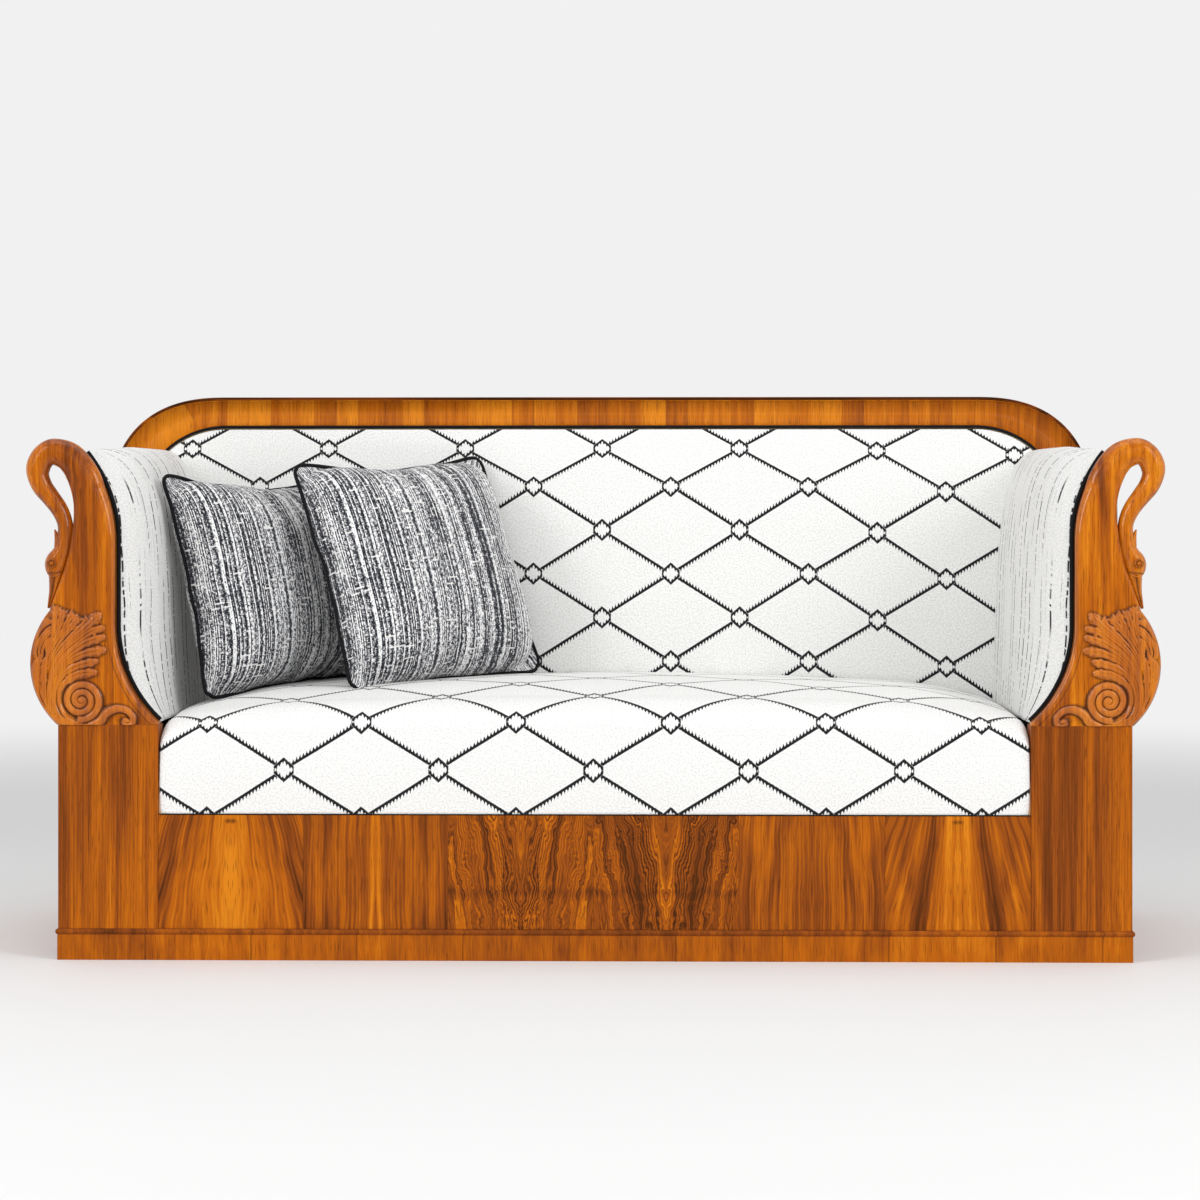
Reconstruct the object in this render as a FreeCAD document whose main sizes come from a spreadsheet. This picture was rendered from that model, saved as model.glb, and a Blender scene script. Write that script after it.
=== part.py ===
# A long upholstered sofa of the 1830s: a veneered box base on a plinth, an arched crest rail,
# and arm fronts carved as swans whose necks loop back to the board.
# Millimetres, +X to the right in a front view, +Y to the back, +Z up; the origin is on the floor
# under the middle of the plinth.
import FreeCAD, Part
import Sketcher
import math
import os
import re

V = FreeCAD.Vector
doc = FreeCAD.newDocument("sofa")
sheet = doc.addObject("Spreadsheet::Sheet", "Sizes")
parts = []

SIZES = {
    # base
    "base_width": 1920,
    "base_depth": 672,
    "plinth_height": 56,
    "plinth_thickness": 26,
    "plinth_projection": 4,
    "bead_height": 10,
    "bead_swell": 3,
    "post_width": 180,
    "post_thickness": 50,
    "post_height": 365,
    "post_rounding": 2,
    "apron_height": 204,
    "apron_thickness": 24,
    "apron_recess": 2,
    "veneer_thickness": 2,
    "veneer_leaves": 6,
    "side_thickness": 24,
    "back_board_thickness": 20,
    "cross_rail_height": 90,
    "cross_rail_thickness": 30,
    "cross_rail_spacing": 500,
    "block_size": 40,
    "block_height": 140,
    # seat
    "seat_rail_height": 60,
    "seat_rail_width": 40,
    "strap_width": 50,
    "strap_thickness": 2,
    "seat_strap_pitch": 110,
    "hessian_thickness": 2,
    "seat_front_height": 456,
    "seat_back_height": 492,
    "seat_side_drop_front": 24,
    "seat_side_drop_back": 36,
    "seat_crown": 14,
    "seat_roll": 32,
    # back
    "back_post_width": 74,
    "back_frame_depth": 62,
    "post_drop": 117,
    "back_rail_height": 60,
    "stile_width": 60,
    "back_strap_pitch": 150,
    "pad_layer": 6,
    "back_pad_bottom": 330,
    "back_pad_depth": 50,
    "back_crown": 12,
    "panel_thickness": 6,
    # crest
    "crest_top": 1032,
    "crest_height": 54,
    "crest_shoulder": 210,
    "crest_radius": 232,
    "crest_thickness": 70,
    "moulding_height": 8,
    "moulding_overhang": 3,
    "moulding_easing": 3,
    # arms and swans
    "front_thickness": 36,
    "front_lip": 4,
    "arm_waist": 100,
    "waist_rise": 180,
    "waist_drop": 172,
    "arm_drop": 110,
    "arm_top_inset": 32,
    "arm_swell": 40,
    "arm_rail_width": 32,
    "arm_rail_height": 56,
    "arm_rail_inset": 24,
    "arm_rail_drop": 42,
    "arm_panel_thickness": 4,
    "volute_radius": 35,
    "volute_relief": 4,
    # piping, dowels and clearances
    "piping_radius": 3.5,
    "dowel_radius": 6,
    "dowel_length": 40,
    "dowel_clearance": 0.2,
    "soft_clearance": 0.5,
    # loose pillows
    "pillow_size": 440,
    "pillow_thickness": 132,
    "pillow_draw": 13,
    "pillow_corner": 16,
    "pillow_piping_radius": 4,
    "pillow_inset": 140,
    "pillow_spacing": 297,
    "pillow_setback": 195,
    "pillow_rise": 202.5,
}
# Sizes that follow from the others
FOLLOWING = {
    "back_post_top": "=crest_top - post_drop",
    "crest_flat": "=base_width - 2 * crest_shoulder",
    "arm_top": "=crest_top - arm_drop",
    "waist_bottom": "=plinth_height + post_height + waist_rise",
    "waist_top": "=arm_top - waist_drop",
    "seat_depth": "=base_depth - back_frame_depth - back_pad_depth",
}
for row, (name, value) in enumerate([*SIZES.items(), *FOLLOWING.items()], 1):
    sheet.set("A%d" % row, name)
    sheet.set("B%d" % row, str(value))
    sheet.setAlias("B%d" % row, name)
doc.recompute()


def size(name):
    """A driving dimension, read back from the sheet."""
    return float(sheet.get(name))


def formula(text):
    """Bare size names in a formula become references to the sheet."""
    return re.sub(r"[a-z]\w+", lambda word: "Sizes." + word.group(), text)


def place(obj, origin):
    for axis, text in zip("xyz", origin):
        obj.setExpression("Placement.Base." + axis, formula(text))


def keep(obj, label):
    """Enter a finished piece under the name of its node."""
    obj.Label = label
    parts.append(obj)
    return obj


def board(name, origin, extent):
    """A plain sawn board from its lowest corner and its extent along X, Y and Z."""
    box = doc.addObject("Part::Box", name)
    for side, text in zip(("Length", "Width", "Height"), extent):
        box.setExpression(side, formula(text))
    place(box, origin)
    return box


def group(name, members):
    """Identical pieces that share one node as separate solids."""
    bundle = doc.addObject("Part::Compound", name)
    bundle.Links = members
    return bundle


def solid_piece(label, shape):
    """A carved, lofted or swept piece whose shape is worked out below."""
    piece = doc.addObject("Part::Feature", label)
    piece.Shape = shape
    return keep(piece, label)


def mirrored(shape):
    return shape.mirror(V(0, 0, 0), V(1, 0, 0))


def origin_plane(body, role):
    return [plane for plane in body.Origin.OriginFeatures if plane.Role == role][0]


def new_sketch(body, role, name):
    sketch = body.newObject("Sketcher::SketchObject", name)
    sketch.AttachmentSupport = [(origin_plane(body, role), "")]
    sketch.MapMode = "FlatFace"
    return sketch


def set_size(sketch, constraint, text):
    index = sketch.addConstraint(constraint)
    sketch.setExpression("Constraints[%d]" % index, formula(text))


def close_loop(sketch, edges):
    """Join the end of every edge to the start of the next one."""
    for edge in range(edges):
        sketch.addConstraint(Sketcher.Constraint("Coincident", edge, 2, (edge + 1) % edges, 1))


# Places that several pieces share, from the driving dimensions

HALF = size("base_width") / 2
FRONT = -size("base_depth") / 2
BACK = size("base_depth") / 2
POST_TOP = size("plinth_height") + size("post_height")
POST_INNER = HALF - size("post_width")
APRON_TOP = size("plinth_height") + size("apron_height")
FRAME_FRONT = BACK - size("back_frame_depth")
PAD_BACK = FRAME_FRONT - size("strap_thickness") - size("hessian_thickness")
PAD_FLAT = PAD_BACK - size("pad_layer")
ARM_BACK = PAD_FLAT - size("soft_clearance")
FRONT_BOARD_BACK = FRONT + size("front_thickness")
WAIST = HALF - size("arm_waist")
SEAT_BACK = FRONT + size("seat_depth")
SEAT_BOTTOM = (APRON_TOP + size("seat_rail_height") + 2 * size("strap_thickness")
               + size("hessian_thickness"))
ARM_RAIL_OUTER = HALF - size("arm_rail_inset")
ARM_RAIL_INNER = ARM_RAIL_OUTER - size("arm_rail_width")
ARM_RAIL_TOP = size("arm_top") - size("arm_rail_drop")
BACK_INNER = HALF - size("back_post_width")
CREST_FLAT = size("crest_flat") / 2
CREST_CENTRE = size("crest_top") - size("crest_radius")
OPENING_TOP = size("crest_top") - size("crest_height")
OPENING_RADIUS = size("crest_radius") - size("crest_height")


# Plinth: four moulded boards, mitred at the corners

def plinth_board(label, length, turn, origin):
    """One moulded board of the given length, its beaded face towards local -Y, ends mitred."""
    body = doc.addObject("PartDesign::Body", label + "_moulded")
    sketch = new_sketch(body, "YZ_Plane", label + "_profile")
    deep = size("plinth_thickness")
    high = size("plinth_height")
    bead = size("bead_height")
    swell = size("bead_swell")
    corners = [V(swell, 0), V(deep, 0), V(deep, high), V(swell, high), V(swell, high - bead)]
    for start in range(3):
        sketch.addGeometry(Part.LineSegment(corners[start], corners[start + 1]), False)
    sketch.addGeometry(Part.Arc(corners[3], V(0, high - bead / 2), corners[4]), False)
    sketch.addGeometry(Part.LineSegment(corners[4], corners[0]), False)
    for edge, end in ((0, 1), (1, 2), (4, 0)):
        sketch.addConstraint(Sketcher.Constraint("Coincident", edge, 2, end, 1))
    arc_top, arc_foot = (1, 2) if sketch.Geometry[3].StartPoint.y > high - bead / 2 else (2, 1)
    sketch.addConstraint(Sketcher.Constraint("Coincident", 2, 2, 3, arc_top))
    sketch.addConstraint(Sketcher.Constraint("Coincident", 3, arc_foot, 4, 1))
    for edge in (0, 2):
        sketch.addConstraint(Sketcher.Constraint("Horizontal", edge))
    for edge in (1, 4):
        sketch.addConstraint(Sketcher.Constraint("Vertical", edge))
    sketch.addConstraint(Sketcher.Constraint("PointOnObject", 0, 1, -1))
    set_size(sketch, Sketcher.Constraint("DistanceX", -1, 1, 0, 1, swell), "bead_swell")
    set_size(sketch, Sketcher.Constraint("DistanceX", -1, 1, 0, 2, deep), "plinth_thickness")
    set_size(sketch, Sketcher.Constraint("DistanceY", 1, 1, 1, 2, high), "plinth_height")
    set_size(sketch, Sketcher.Constraint("DistanceY", 4, 2, 4, 1, high - bead),
             "plinth_height - bead_height")
    set_size(sketch, Sketcher.Constraint("Radius", 3, (bead * bead / 4 + swell * swell) / (2 * swell)),
             "(bead_height * bead_height / 4 + bead_swell * bead_swell) / (2 * bead_swell)")
    pad = body.newObject("PartDesign::Pad", label + "_length")
    pad.Profile = sketch
    pad.setExpression("Length", formula(length))
    mitre = doc.addObject("Part::Wedge", label + "_mitre")
    for side, text in (("Xmin", "0"), ("Xmax", length), ("Ymin", "0"), ("Ymax", "plinth_thickness"),
                       ("Zmin", "0"), ("Zmax", "plinth_height"), ("X2min", "plinth_thickness"),
                       ("X2max", length + " - plinth_thickness"), ("Z2min", "0"),
                       ("Z2max", "plinth_height")):
        mitre.setExpression(side, formula(text))
    cut = doc.addObject("Part::Common", label)
    cut.Base = body
    cut.Tool = mitre
    cut.Placement.Rotation = FreeCAD.Rotation(V(0, 0, 1), turn)
    place(cut, origin)
    keep(cut, label)


LONG = "base_width + 2 * plinth_projection"
SHORT = "base_depth + 2 * plinth_projection"
LEFT_END = "-base_width / 2 - plinth_projection"
RIGHT_END = "base_width / 2 + plinth_projection"
FRONT_END = "-base_depth / 2 - plinth_projection"
BACK_END = "base_depth / 2 + plinth_projection"
plinth_board("plinth_front", LONG, 0, (LEFT_END, FRONT_END, "0"))
plinth_board("plinth_right", SHORT, 90, (RIGHT_END, FRONT_END, "0"))
plinth_board("plinth_back", LONG, 180, (RIGHT_END, BACK_END, "0"))
plinth_board("plinth_left", SHORT, 270, (LEFT_END, BACK_END, "0"))


# Base box: front posts, apron with its veneer leaves, sides, back and inner bearers

def front_post(label, x):
    """A veneered post, its long front edges eased."""
    body = doc.addObject("PartDesign::Body", label)
    sketch = new_sketch(body, "XY_Plane", label + "_section")
    wide = size("post_width")
    deep = size("post_thickness")
    corners = [V(0, 0), V(wide, 0), V(wide, deep), V(0, deep)]
    for start in range(4):
        sketch.addGeometry(Part.LineSegment(corners[start], corners[(start + 1) % 4]), False)
    close_loop(sketch, 4)
    for edge in (0, 2):
        sketch.addConstraint(Sketcher.Constraint("Horizontal", edge))
    for edge in (1, 3):
        sketch.addConstraint(Sketcher.Constraint("Vertical", edge))
    sketch.addConstraint(Sketcher.Constraint("Coincident", 0, 1, -1, 1))
    set_size(sketch, Sketcher.Constraint("DistanceX", 0, 1, 0, 2, wide), "post_width")
    set_size(sketch, Sketcher.Constraint("DistanceY", 1, 1, 1, 2, deep), "post_thickness")
    pad = body.newObject("PartDesign::Pad", label + "_height")
    pad.Profile = sketch
    pad.setExpression("Length", formula("post_height"))
    doc.recompute()
    uprights = []
    for number, edge in enumerate(pad.Shape.Edges, 1):
        middle = edge.CenterOfMass
        if abs(middle.y) < 0.01 and abs(middle.z - size("post_height") / 2) < 0.01:
            uprights.append("Edge%d" % number)
    ease = body.newObject("PartDesign::Fillet", label + "_eased")
    ease.Base = (pad, uprights)
    ease.setExpression("Radius", formula("post_rounding"))
    place(body, (x, "-base_depth / 2", "plinth_height"))
    keep(body, label)


front_post("left_front_post", "-base_width / 2")
front_post("right_front_post", "base_width / 2 - post_width")

APRON_LEFT = "post_width - base_width / 2"
APRON_WIDE = "base_width - 2 * post_width"
APRON_FACE = "-base_depth / 2 + apron_recess"
keep(board("apron_core", (APRON_LEFT, APRON_FACE + " + veneer_thickness", "plinth_height"),
           (APRON_WIDE, "apron_thickness", "apron_height")), "apron_board")
leaves = []
for leaf in range(int(size("veneer_leaves"))):
    along = "%s + %d * (%s) / veneer_leaves" % (APRON_LEFT, leaf, APRON_WIDE)
    leaves.append(board("apron_leaf_%d" % leaf, (along, APRON_FACE, "plinth_height"),
                        ("(%s) / veneer_leaves" % APRON_WIDE, "veneer_thickness", "apron_height")))
keep(group("apron_leaves", leaves), "apron_veneer")

SIDE_LONG = "base_depth - post_thickness - back_frame_depth"
SIDE_START = "-base_depth / 2 + post_thickness"
keep(board("side_left", ("-base_width / 2", SIDE_START, "plinth_height"),
           ("side_thickness", SIDE_LONG, "post_height")), "left_base_side")
keep(board("side_right", ("base_width / 2 - side_thickness", SIDE_START, "plinth_height"),
           ("side_thickness", SIDE_LONG, "post_height")), "right_base_side")
keep(board("back_board", ("-base_width / 2 + back_post_width", "base_depth / 2 - back_board_thickness",
                          "plinth_height"),
           ("base_width - 2 * back_post_width", "back_board_thickness", "apron_height")),
     "base_back_board")

CROSS_START = APRON_FACE + " + veneer_thickness + apron_thickness"
CROSS_LONG = "base_depth - apron_recess - veneer_thickness - apron_thickness - back_board_thickness"
crosses = []
for step in (-1, 0, 1):
    along = "%d * cross_rail_spacing - cross_rail_thickness / 2" % step
    crosses.append(board("cross_%d" % (step + 1),
                         (along, CROSS_START, "plinth_height + apron_height - cross_rail_height"),
                         ("cross_rail_thickness", CROSS_LONG, "cross_rail_height")))
keep(group("crosses", crosses), "base_cross_rails")

blocks = []
for side, x in (("left", "-base_width / 2 + side_thickness"),
                ("right", "base_width / 2 - side_thickness - block_size")):
    for end, y in (("front", SIDE_START), ("back", "base_depth / 2 - back_frame_depth - block_size")):
        blocks.append(board("block_%s_%s" % (side, end), (x, y, "plinth_height"),
                            ("block_size", "block_size", "block_height")))
keep(group("blocks", blocks), "corner_blocks")


# Seat frame: four rails on the apron and the cross rails, webbed and covered with hessian

SEAT_LEFT = APRON_LEFT + " + soft_clearance"
SEAT_WIDE = APRON_WIDE + " - 2 * soft_clearance"
RAIL_FRONT = APRON_FACE + " + veneer_thickness + veneer_thickness"
RAIL_LONG = "seat_depth - apron_recess - 2 * veneer_thickness"
RAIL_FOOT = "plinth_height + apron_height"
RAIL_HEAD = RAIL_FOOT + " + seat_rail_height"
keep(board("rail_front", (SEAT_LEFT, RAIL_FRONT, RAIL_FOOT),
           (SEAT_WIDE, "seat_rail_width", "seat_rail_height")), "seat_rail_front")
keep(board("rail_back", (SEAT_LEFT, "-base_depth / 2 + seat_depth - seat_rail_width", RAIL_FOOT),
           (SEAT_WIDE, "seat_rail_width", "seat_rail_height")), "seat_rail_back")
SIDE_RAIL = (RAIL_FRONT + " + seat_rail_width", RAIL_LONG + " - 2 * seat_rail_width")
keep(board("rail_left", (SEAT_LEFT, SIDE_RAIL[0], RAIL_FOOT),
           ("seat_rail_width", SIDE_RAIL[1], "seat_rail_height")), "seat_rail_left")
keep(board("rail_right", ("-(%s) - seat_rail_width" % SEAT_LEFT, SIDE_RAIL[0], RAIL_FOOT),
           ("seat_rail_width", SIDE_RAIL[1], "seat_rail_height")), "seat_rail_right")

straps = []
seat_clear = 2 * POST_INNER - 2 * size("soft_clearance") - 2 * size("strap_width")
lengthwise = int(seat_clear / size("seat_strap_pitch"))
for step in range(lengthwise + 1):
    along = "%g * seat_strap_pitch - strap_width / 2" % (step - lengthwise / 2)
    straps.append(board("strap_deep_%d" % step, (along, RAIL_FRONT, RAIL_HEAD),
                        ("strap_width", RAIL_LONG, "strap_thickness")))
crosswise = int((size("seat_depth") - 2 * size("strap_width")) / size("seat_strap_pitch"))
for step in range(crosswise + 1):
    deep = "-base_depth / 2 + seat_depth / 2 + %g * seat_strap_pitch - strap_width / 2"
    straps.append(board("strap_wide_%d" % step,
                        (SEAT_LEFT, deep % (step - crosswise / 2), RAIL_HEAD + " + strap_thickness"),
                        (SEAT_WIDE, "strap_width", "strap_thickness")))
keep(group("seat_straps", straps), "seat_webbing")
keep(board("seat_sheet", (SEAT_LEFT, RAIL_FRONT, RAIL_HEAD + " + 2 * strap_thickness"),
           (SEAT_WIDE, RAIL_LONG, "hessian_thickness")), "seat_hessian")


# Back frame: posts, top and lower rails, stiles, webbing; dowels tie the posts to the crest and arms

dowels = []
holes = {}


def dowel(name, drilled, origin, turn):
    """One dowel half in each of two pieces, and the hole that it fills in both."""
    for kind, radius in (("pin", "dowel_radius"), ("hole", "dowel_radius + dowel_clearance")):
        cylinder = doc.addObject("Part::Cylinder", "%s_%s" % (name, kind))
        cylinder.setExpression("Radius", formula(radius))
        cylinder.setExpression("Height", formula("dowel_length"))
        cylinder.Placement.Rotation = turn
        place(cylinder, origin)
        if kind == "pin":
            dowels.append(cylinder)
        else:
            for piece in drilled:
                holes.setdefault(piece, []).append(cylinder)


UPRIGHT = FreeCAD.Rotation()
BACKWARDS = FreeCAD.Rotation(V(1, 0, 0), -90)
POST_MIDDLE = "base_depth / 2 - back_frame_depth / 2"
POST_CENTRE = "(base_width / 2 - back_post_width / 2)"
RAIL_CENTRE = "(base_width / 2 - arm_rail_inset - arm_rail_width / 2)"
ARM_TOP_MIDDLE = "arm_top - arm_rail_drop - arm_rail_height / 2"
ARM_FOOT_MIDDLE = "plinth_height + post_height + arm_rail_height / 2"
for side, sign in (("left", "-1 * "), ("right", "")):
    post = side + "_back_post"
    for end, shift in (("inner", "- back_post_width / 4"), ("outer", "")):
        dowel("crest_%s_%s" % (side, end), (post, "crest_rail"),
              ("%s(%s %s)" % (sign, POST_CENTRE, shift), POST_MIDDLE, "back_post_top - dowel_length / 2"),
              UPRIGHT)
    for level, height in (("top", ARM_TOP_MIDDLE), ("bottom", ARM_FOOT_MIDDLE)):
        dowel("arm_%s_%s" % (side, level), (post, "%s_arm_%s_rail" % (side, level)),
              (sign + RAIL_CENTRE, "base_depth / 2 - back_frame_depth - dowel_length / 2", height),
              BACKWARDS)
keep(group("dowels", dowels), "frame_dowels")


def drilled(label, piece):
    """The piece with the holes of its dowels."""
    cut = doc.addObject("Part::Cut", label)
    cut.Base = piece
    cut.Tool = group(label + "_holes", holes[label])
    keep(cut, label)


for side, x in (("left", "-base_width / 2"), ("right", "base_width / 2 - back_post_width")):
    drilled(side + "_back_post",
            board(side + "_post_blank", (x, "base_depth / 2 - back_frame_depth", "plinth_height"),
                  ("back_post_width", "back_frame_depth", "back_post_top - plinth_height")))

FRAME_LEFT = "-base_width / 2 + back_post_width"
FRAME_WIDE = "base_width - 2 * back_post_width"
FRAME_FACE = "base_depth / 2 - back_frame_depth"
FRAME_DEEP = "back_frame_depth - panel_thickness"
OPENING_HEAD = "crest_top - crest_height"
TOP_RAIL_FOOT = "back_post_top - back_rail_height"
LOWER_RAIL_FOOT = "plinth_height + apron_height"
keep(board("rail_top", (FRAME_LEFT, FRAME_FACE, TOP_RAIL_FOOT),
           (FRAME_WIDE, FRAME_DEEP, "back_rail_height")), "back_top_rail")
keep(board("rail_lower", (FRAME_LEFT, FRAME_FACE, LOWER_RAIL_FOOT),
           (FRAME_WIDE, FRAME_DEEP, "back_rail_height")), "back_lower_rail")
STILE_FOOT = LOWER_RAIL_FOOT + " + back_rail_height"
stiles = []
for step in (-1, 1):
    along = "%d * cross_rail_spacing / 2 - stile_width / 2" % step
    stiles.append(board("stile_%d" % (step + 1), (along, FRAME_FACE, STILE_FOOT),
                        ("stile_width", FRAME_DEEP, "%s - (%s)" % (TOP_RAIL_FOOT, STILE_FOOT))))
for step in (-1, 1):
    along = "%d * cross_rail_spacing / 2 - stile_width / 2" % step
    stiles.append(board("riser_%d" % (step + 1), (along, FRAME_FACE, "back_post_top"),
                        ("stile_width", FRAME_DEEP, OPENING_HEAD + " - back_post_top")))
keep(group("stiles", stiles), "back_stiles")

back_straps = []
back_runs = int((2 * BACK_INNER - 2 * size("strap_width")) / size("back_strap_pitch"))
for step in range(back_runs + 1):
    along = "%g * back_strap_pitch - strap_width / 2" % (step - back_runs / 2)
    back_straps.append(board("strap_back_%d" % step,
                             (along, FRAME_FACE + " - strap_thickness", LOWER_RAIL_FOOT),
                             ("strap_width", "strap_thickness",
                              "back_post_top - (%s)" % LOWER_RAIL_FOOT)))
keep(group("back_straps", back_straps), "back_webbing")


# Crest: an arched rail with quarter-turned ends on the posts, and a moulding with eased edges along its top

def arch_band(label, top, height, radius, thickness, back):
    """A band of one height whose straight top turns down into an arc at each end."""
    body = doc.addObject("PartDesign::Body", label)
    sketch = new_sketch(body, "XZ_Plane", label + "_outline")
    high, tall, bend = (sheet_value(text) for text in (top, height, radius))
    foot = size("back_post_top")
    middle = high - bend
    inner = bend - tall
    outer_turn = math.asin((foot - middle) / bend)
    inner_turn = math.asin((foot - middle) / inner)
    normal = V(0, 0, 1)
    right = V(CREST_FLAT, middle)
    left = V(-CREST_FLAT, middle)
    quarter = math.pi / 2

    def ray(centre, distance, angle):
        return centre + V(distance * math.cos(angle), distance * math.sin(angle))

    sketch.addGeometry([
        Part.LineSegment(V(-CREST_FLAT, high), V(CREST_FLAT, high)),
        Part.ArcOfCircle(Part.Circle(right, normal, bend), outer_turn, quarter),
        Part.LineSegment(ray(right, bend, outer_turn), ray(right, inner, inner_turn)),
        Part.ArcOfCircle(Part.Circle(right, normal, inner), inner_turn, quarter),
        Part.LineSegment(V(CREST_FLAT, high - tall), V(-CREST_FLAT, high - tall)),
        Part.ArcOfCircle(Part.Circle(left, normal, inner), quarter, math.pi - inner_turn),
        Part.LineSegment(ray(left, inner, math.pi - inner_turn), ray(left, bend, math.pi - outer_turn)),
        Part.ArcOfCircle(Part.Circle(left, normal, bend), quarter, math.pi - outer_turn)], False)
    for first, first_end, second, second_end in ((1, 1, 2, 1), (2, 2, 3, 1), (5, 2, 6, 1), (6, 2, 7, 2)):
        sketch.addConstraint(Sketcher.Constraint("Coincident", first, first_end, second, second_end))
    for first, first_end, second, second_end in ((0, 2, 1, 2), (3, 2, 4, 1), (4, 2, 5, 1), (7, 1, 0, 1)):
        sketch.addConstraint(Sketcher.Constraint("Tangent", first, first_end, second, second_end))
    for edge in (2, 6):
        sketch.addConstraint(Sketcher.Constraint("Horizontal", edge))
    for outer, inside in ((1, 3), (7, 5)):
        sketch.addConstraint(Sketcher.Constraint("Coincident", outer, 3, inside, 3))
    sketch.addConstraint(Sketcher.Constraint("Symmetric", 0, 1, 0, 2, -2))
    set_size(sketch, Sketcher.Constraint("DistanceX", 0, 1, 0, 2, 2 * CREST_FLAT), "crest_flat")
    set_size(sketch, Sketcher.Constraint("DistanceY", -1, 1, 0, 2, high), top)
    set_size(sketch, Sketcher.Constraint("DistanceY", 4, 1, 0, 2, tall), height)
    set_size(sketch, Sketcher.Constraint("Radius", 1, bend), radius)
    sketch.addConstraint(Sketcher.Constraint("Equal", 1, 7))
    set_size(sketch, Sketcher.Constraint("DistanceY", -1, 1, 2, 1, foot), "back_post_top")
    set_size(sketch, Sketcher.Constraint("DistanceY", -1, 1, 6, 1, foot), "back_post_top")
    pad = body.newObject("PartDesign::Pad", label + "_depth")
    pad.Profile = sketch
    pad.setExpression("Length", formula(thickness))
    place(body, ("0", back, "0"))
    return body, pad


def sheet_value(text):
    """The number that a formula of size names gives."""
    total = 0.0
    for sign, name in re.findall(r"([+-]?)\s*([a-z]\w+)", text):
        total += -size(name) if sign == "-" else size(name)
    return total


rail = arch_band("crest_blank", "crest_top", "crest_height", "crest_radius",
                 "crest_thickness", "base_depth / 2")[0]
drilled("crest_rail", rail)
moulding, moulding_pad = arch_band("crest_moulding", "crest_top + moulding_height", "moulding_height",
                                   "crest_radius + moulding_height",
                                   "crest_thickness + 2 * moulding_overhang",
                                   "base_depth / 2 + moulding_overhang")
doc.recompute()
outer_edges = []
for number, edge in enumerate(moulding_pad.Shape.Edges, 1):
    on_face = edge.BoundBox.YLength < 0.01
    ends = [vertex.Point for vertex in edge.Vertexes]
    reach = size("crest_radius") + size("moulding_height")
    far = all(max(abs(end.x) - CREST_FLAT, 0) ** 2 + (end.z - CREST_CENTRE) ** 2 > (reach - 1) ** 2
              for end in ends)
    if on_face and far:
        outer_edges.append("Edge%d" % number)
easing = moulding.newObject("PartDesign::Chamfer", "crest_moulding_eased")
easing.Base = (moulding_pad, outer_edges)
easing.setExpression("Size", formula("moulding_easing"))
keep(moulding, "crest_moulding")


def opening_edges(inset, foot):
    """The edges of the back's opening under the crest, drawn in by the inset, down to the foot."""
    bend = OPENING_RADIUS - inset
    side = BACK_INNER - inset
    head = OPENING_TOP - inset
    turn = math.acos(min((side - CREST_FLAT) / bend, 1.0))
    shoulder = CREST_CENTRE + bend * math.sin(turn)
    mid = (turn + math.pi / 2) / 2
    right_mid = V(CREST_FLAT + bend * math.cos(mid), 0, CREST_CENTRE + bend * math.sin(mid))
    left_mid = V(-right_mid.x, 0, right_mid.z)
    points = [V(-side, 0, foot), V(side, 0, foot), V(side, 0, shoulder), V(CREST_FLAT, 0, head),
              V(-CREST_FLAT, 0, head), V(-side, 0, shoulder)]
    return [Part.LineSegment(points[0], points[1]), Part.LineSegment(points[1], points[2]),
            Part.Arc(points[2], right_mid, points[3]), Part.LineSegment(points[3], points[4]),
            Part.Arc(points[4], left_mid, points[5]), Part.LineSegment(points[5], points[0])]


def plate(edges, front, thickness):
    """A flat plate from edges drawn in the XZ plane."""
    wire = Part.Wire([edge.toShape() for edge in edges])
    wire.translate(V(0, front, 0))
    return Part.Face(wire).extrude(V(0, thickness, 0))


solid_piece("outer_back_panel", plate(opening_edges(size("soft_clearance"), APRON_TOP),
                                      BACK - size("panel_thickness"), size("panel_thickness")))
solid_piece("back_hessian", plate(opening_edges(size("soft_clearance"), size("back_pad_bottom")),
                                  PAD_BACK, size("hessian_thickness")))


# The arm line: one S from the seat up to the arm's top, shared by swan front, arm pad and piping

def tangent_arc(end, level, upright):
    """The arc that leaves an upright line at a level and runs to the end point."""
    across = end.x - upright
    along = end.z - level
    radius = (across * across + along * along) / (2 * abs(across))
    turn = math.asin(along / radius) / 2
    centre = upright + math.copysign(radius, across)
    middle = V(centre - math.copysign(radius, across) * math.cos(turn), 0,
               level + radius * math.sin(turn))
    return Part.Arc(V(upright, 0, level), middle, end)


def arm_line(upright, foot, head):
    """Lower arc, upright waist and upper arc, from the foot point to the head point."""
    low = size("waist_bottom")
    high = size("waist_top")
    lower = tangent_arc(foot, low, upright)
    lower = Part.Arc(lower.EndPoint, lower.value((lower.FirstParameter + lower.LastParameter) / 2),
                     lower.StartPoint)
    return [lower, Part.LineSegment(V(upright, 0, low), V(upright, 0, high)),
            tangent_arc(head, high, upright)]


ARM_FOOT = V(POST_INNER, 0, POST_TOP + size("front_lip"))
ARM_HEAD = V(HALF - size("arm_top_inset"), 0, size("arm_top"))


# Swan fronts: breast scroll, neck loop, head and beak, cut and carved from one plank

# Height of the arm above the post on which the swan's points are drawn; a taller arm draws them up
SWAN_DRAWN = 501
SWAN_STRETCH = (size("arm_top") - POST_TOP) / SWAN_DRAWN


def swan_point(out, up):
    """A point of the swan, measured outwards and upwards from the outer top corner of the post."""
    return V(HALF + out, 0, POST_TOP + up * SWAN_STRETCH)


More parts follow.
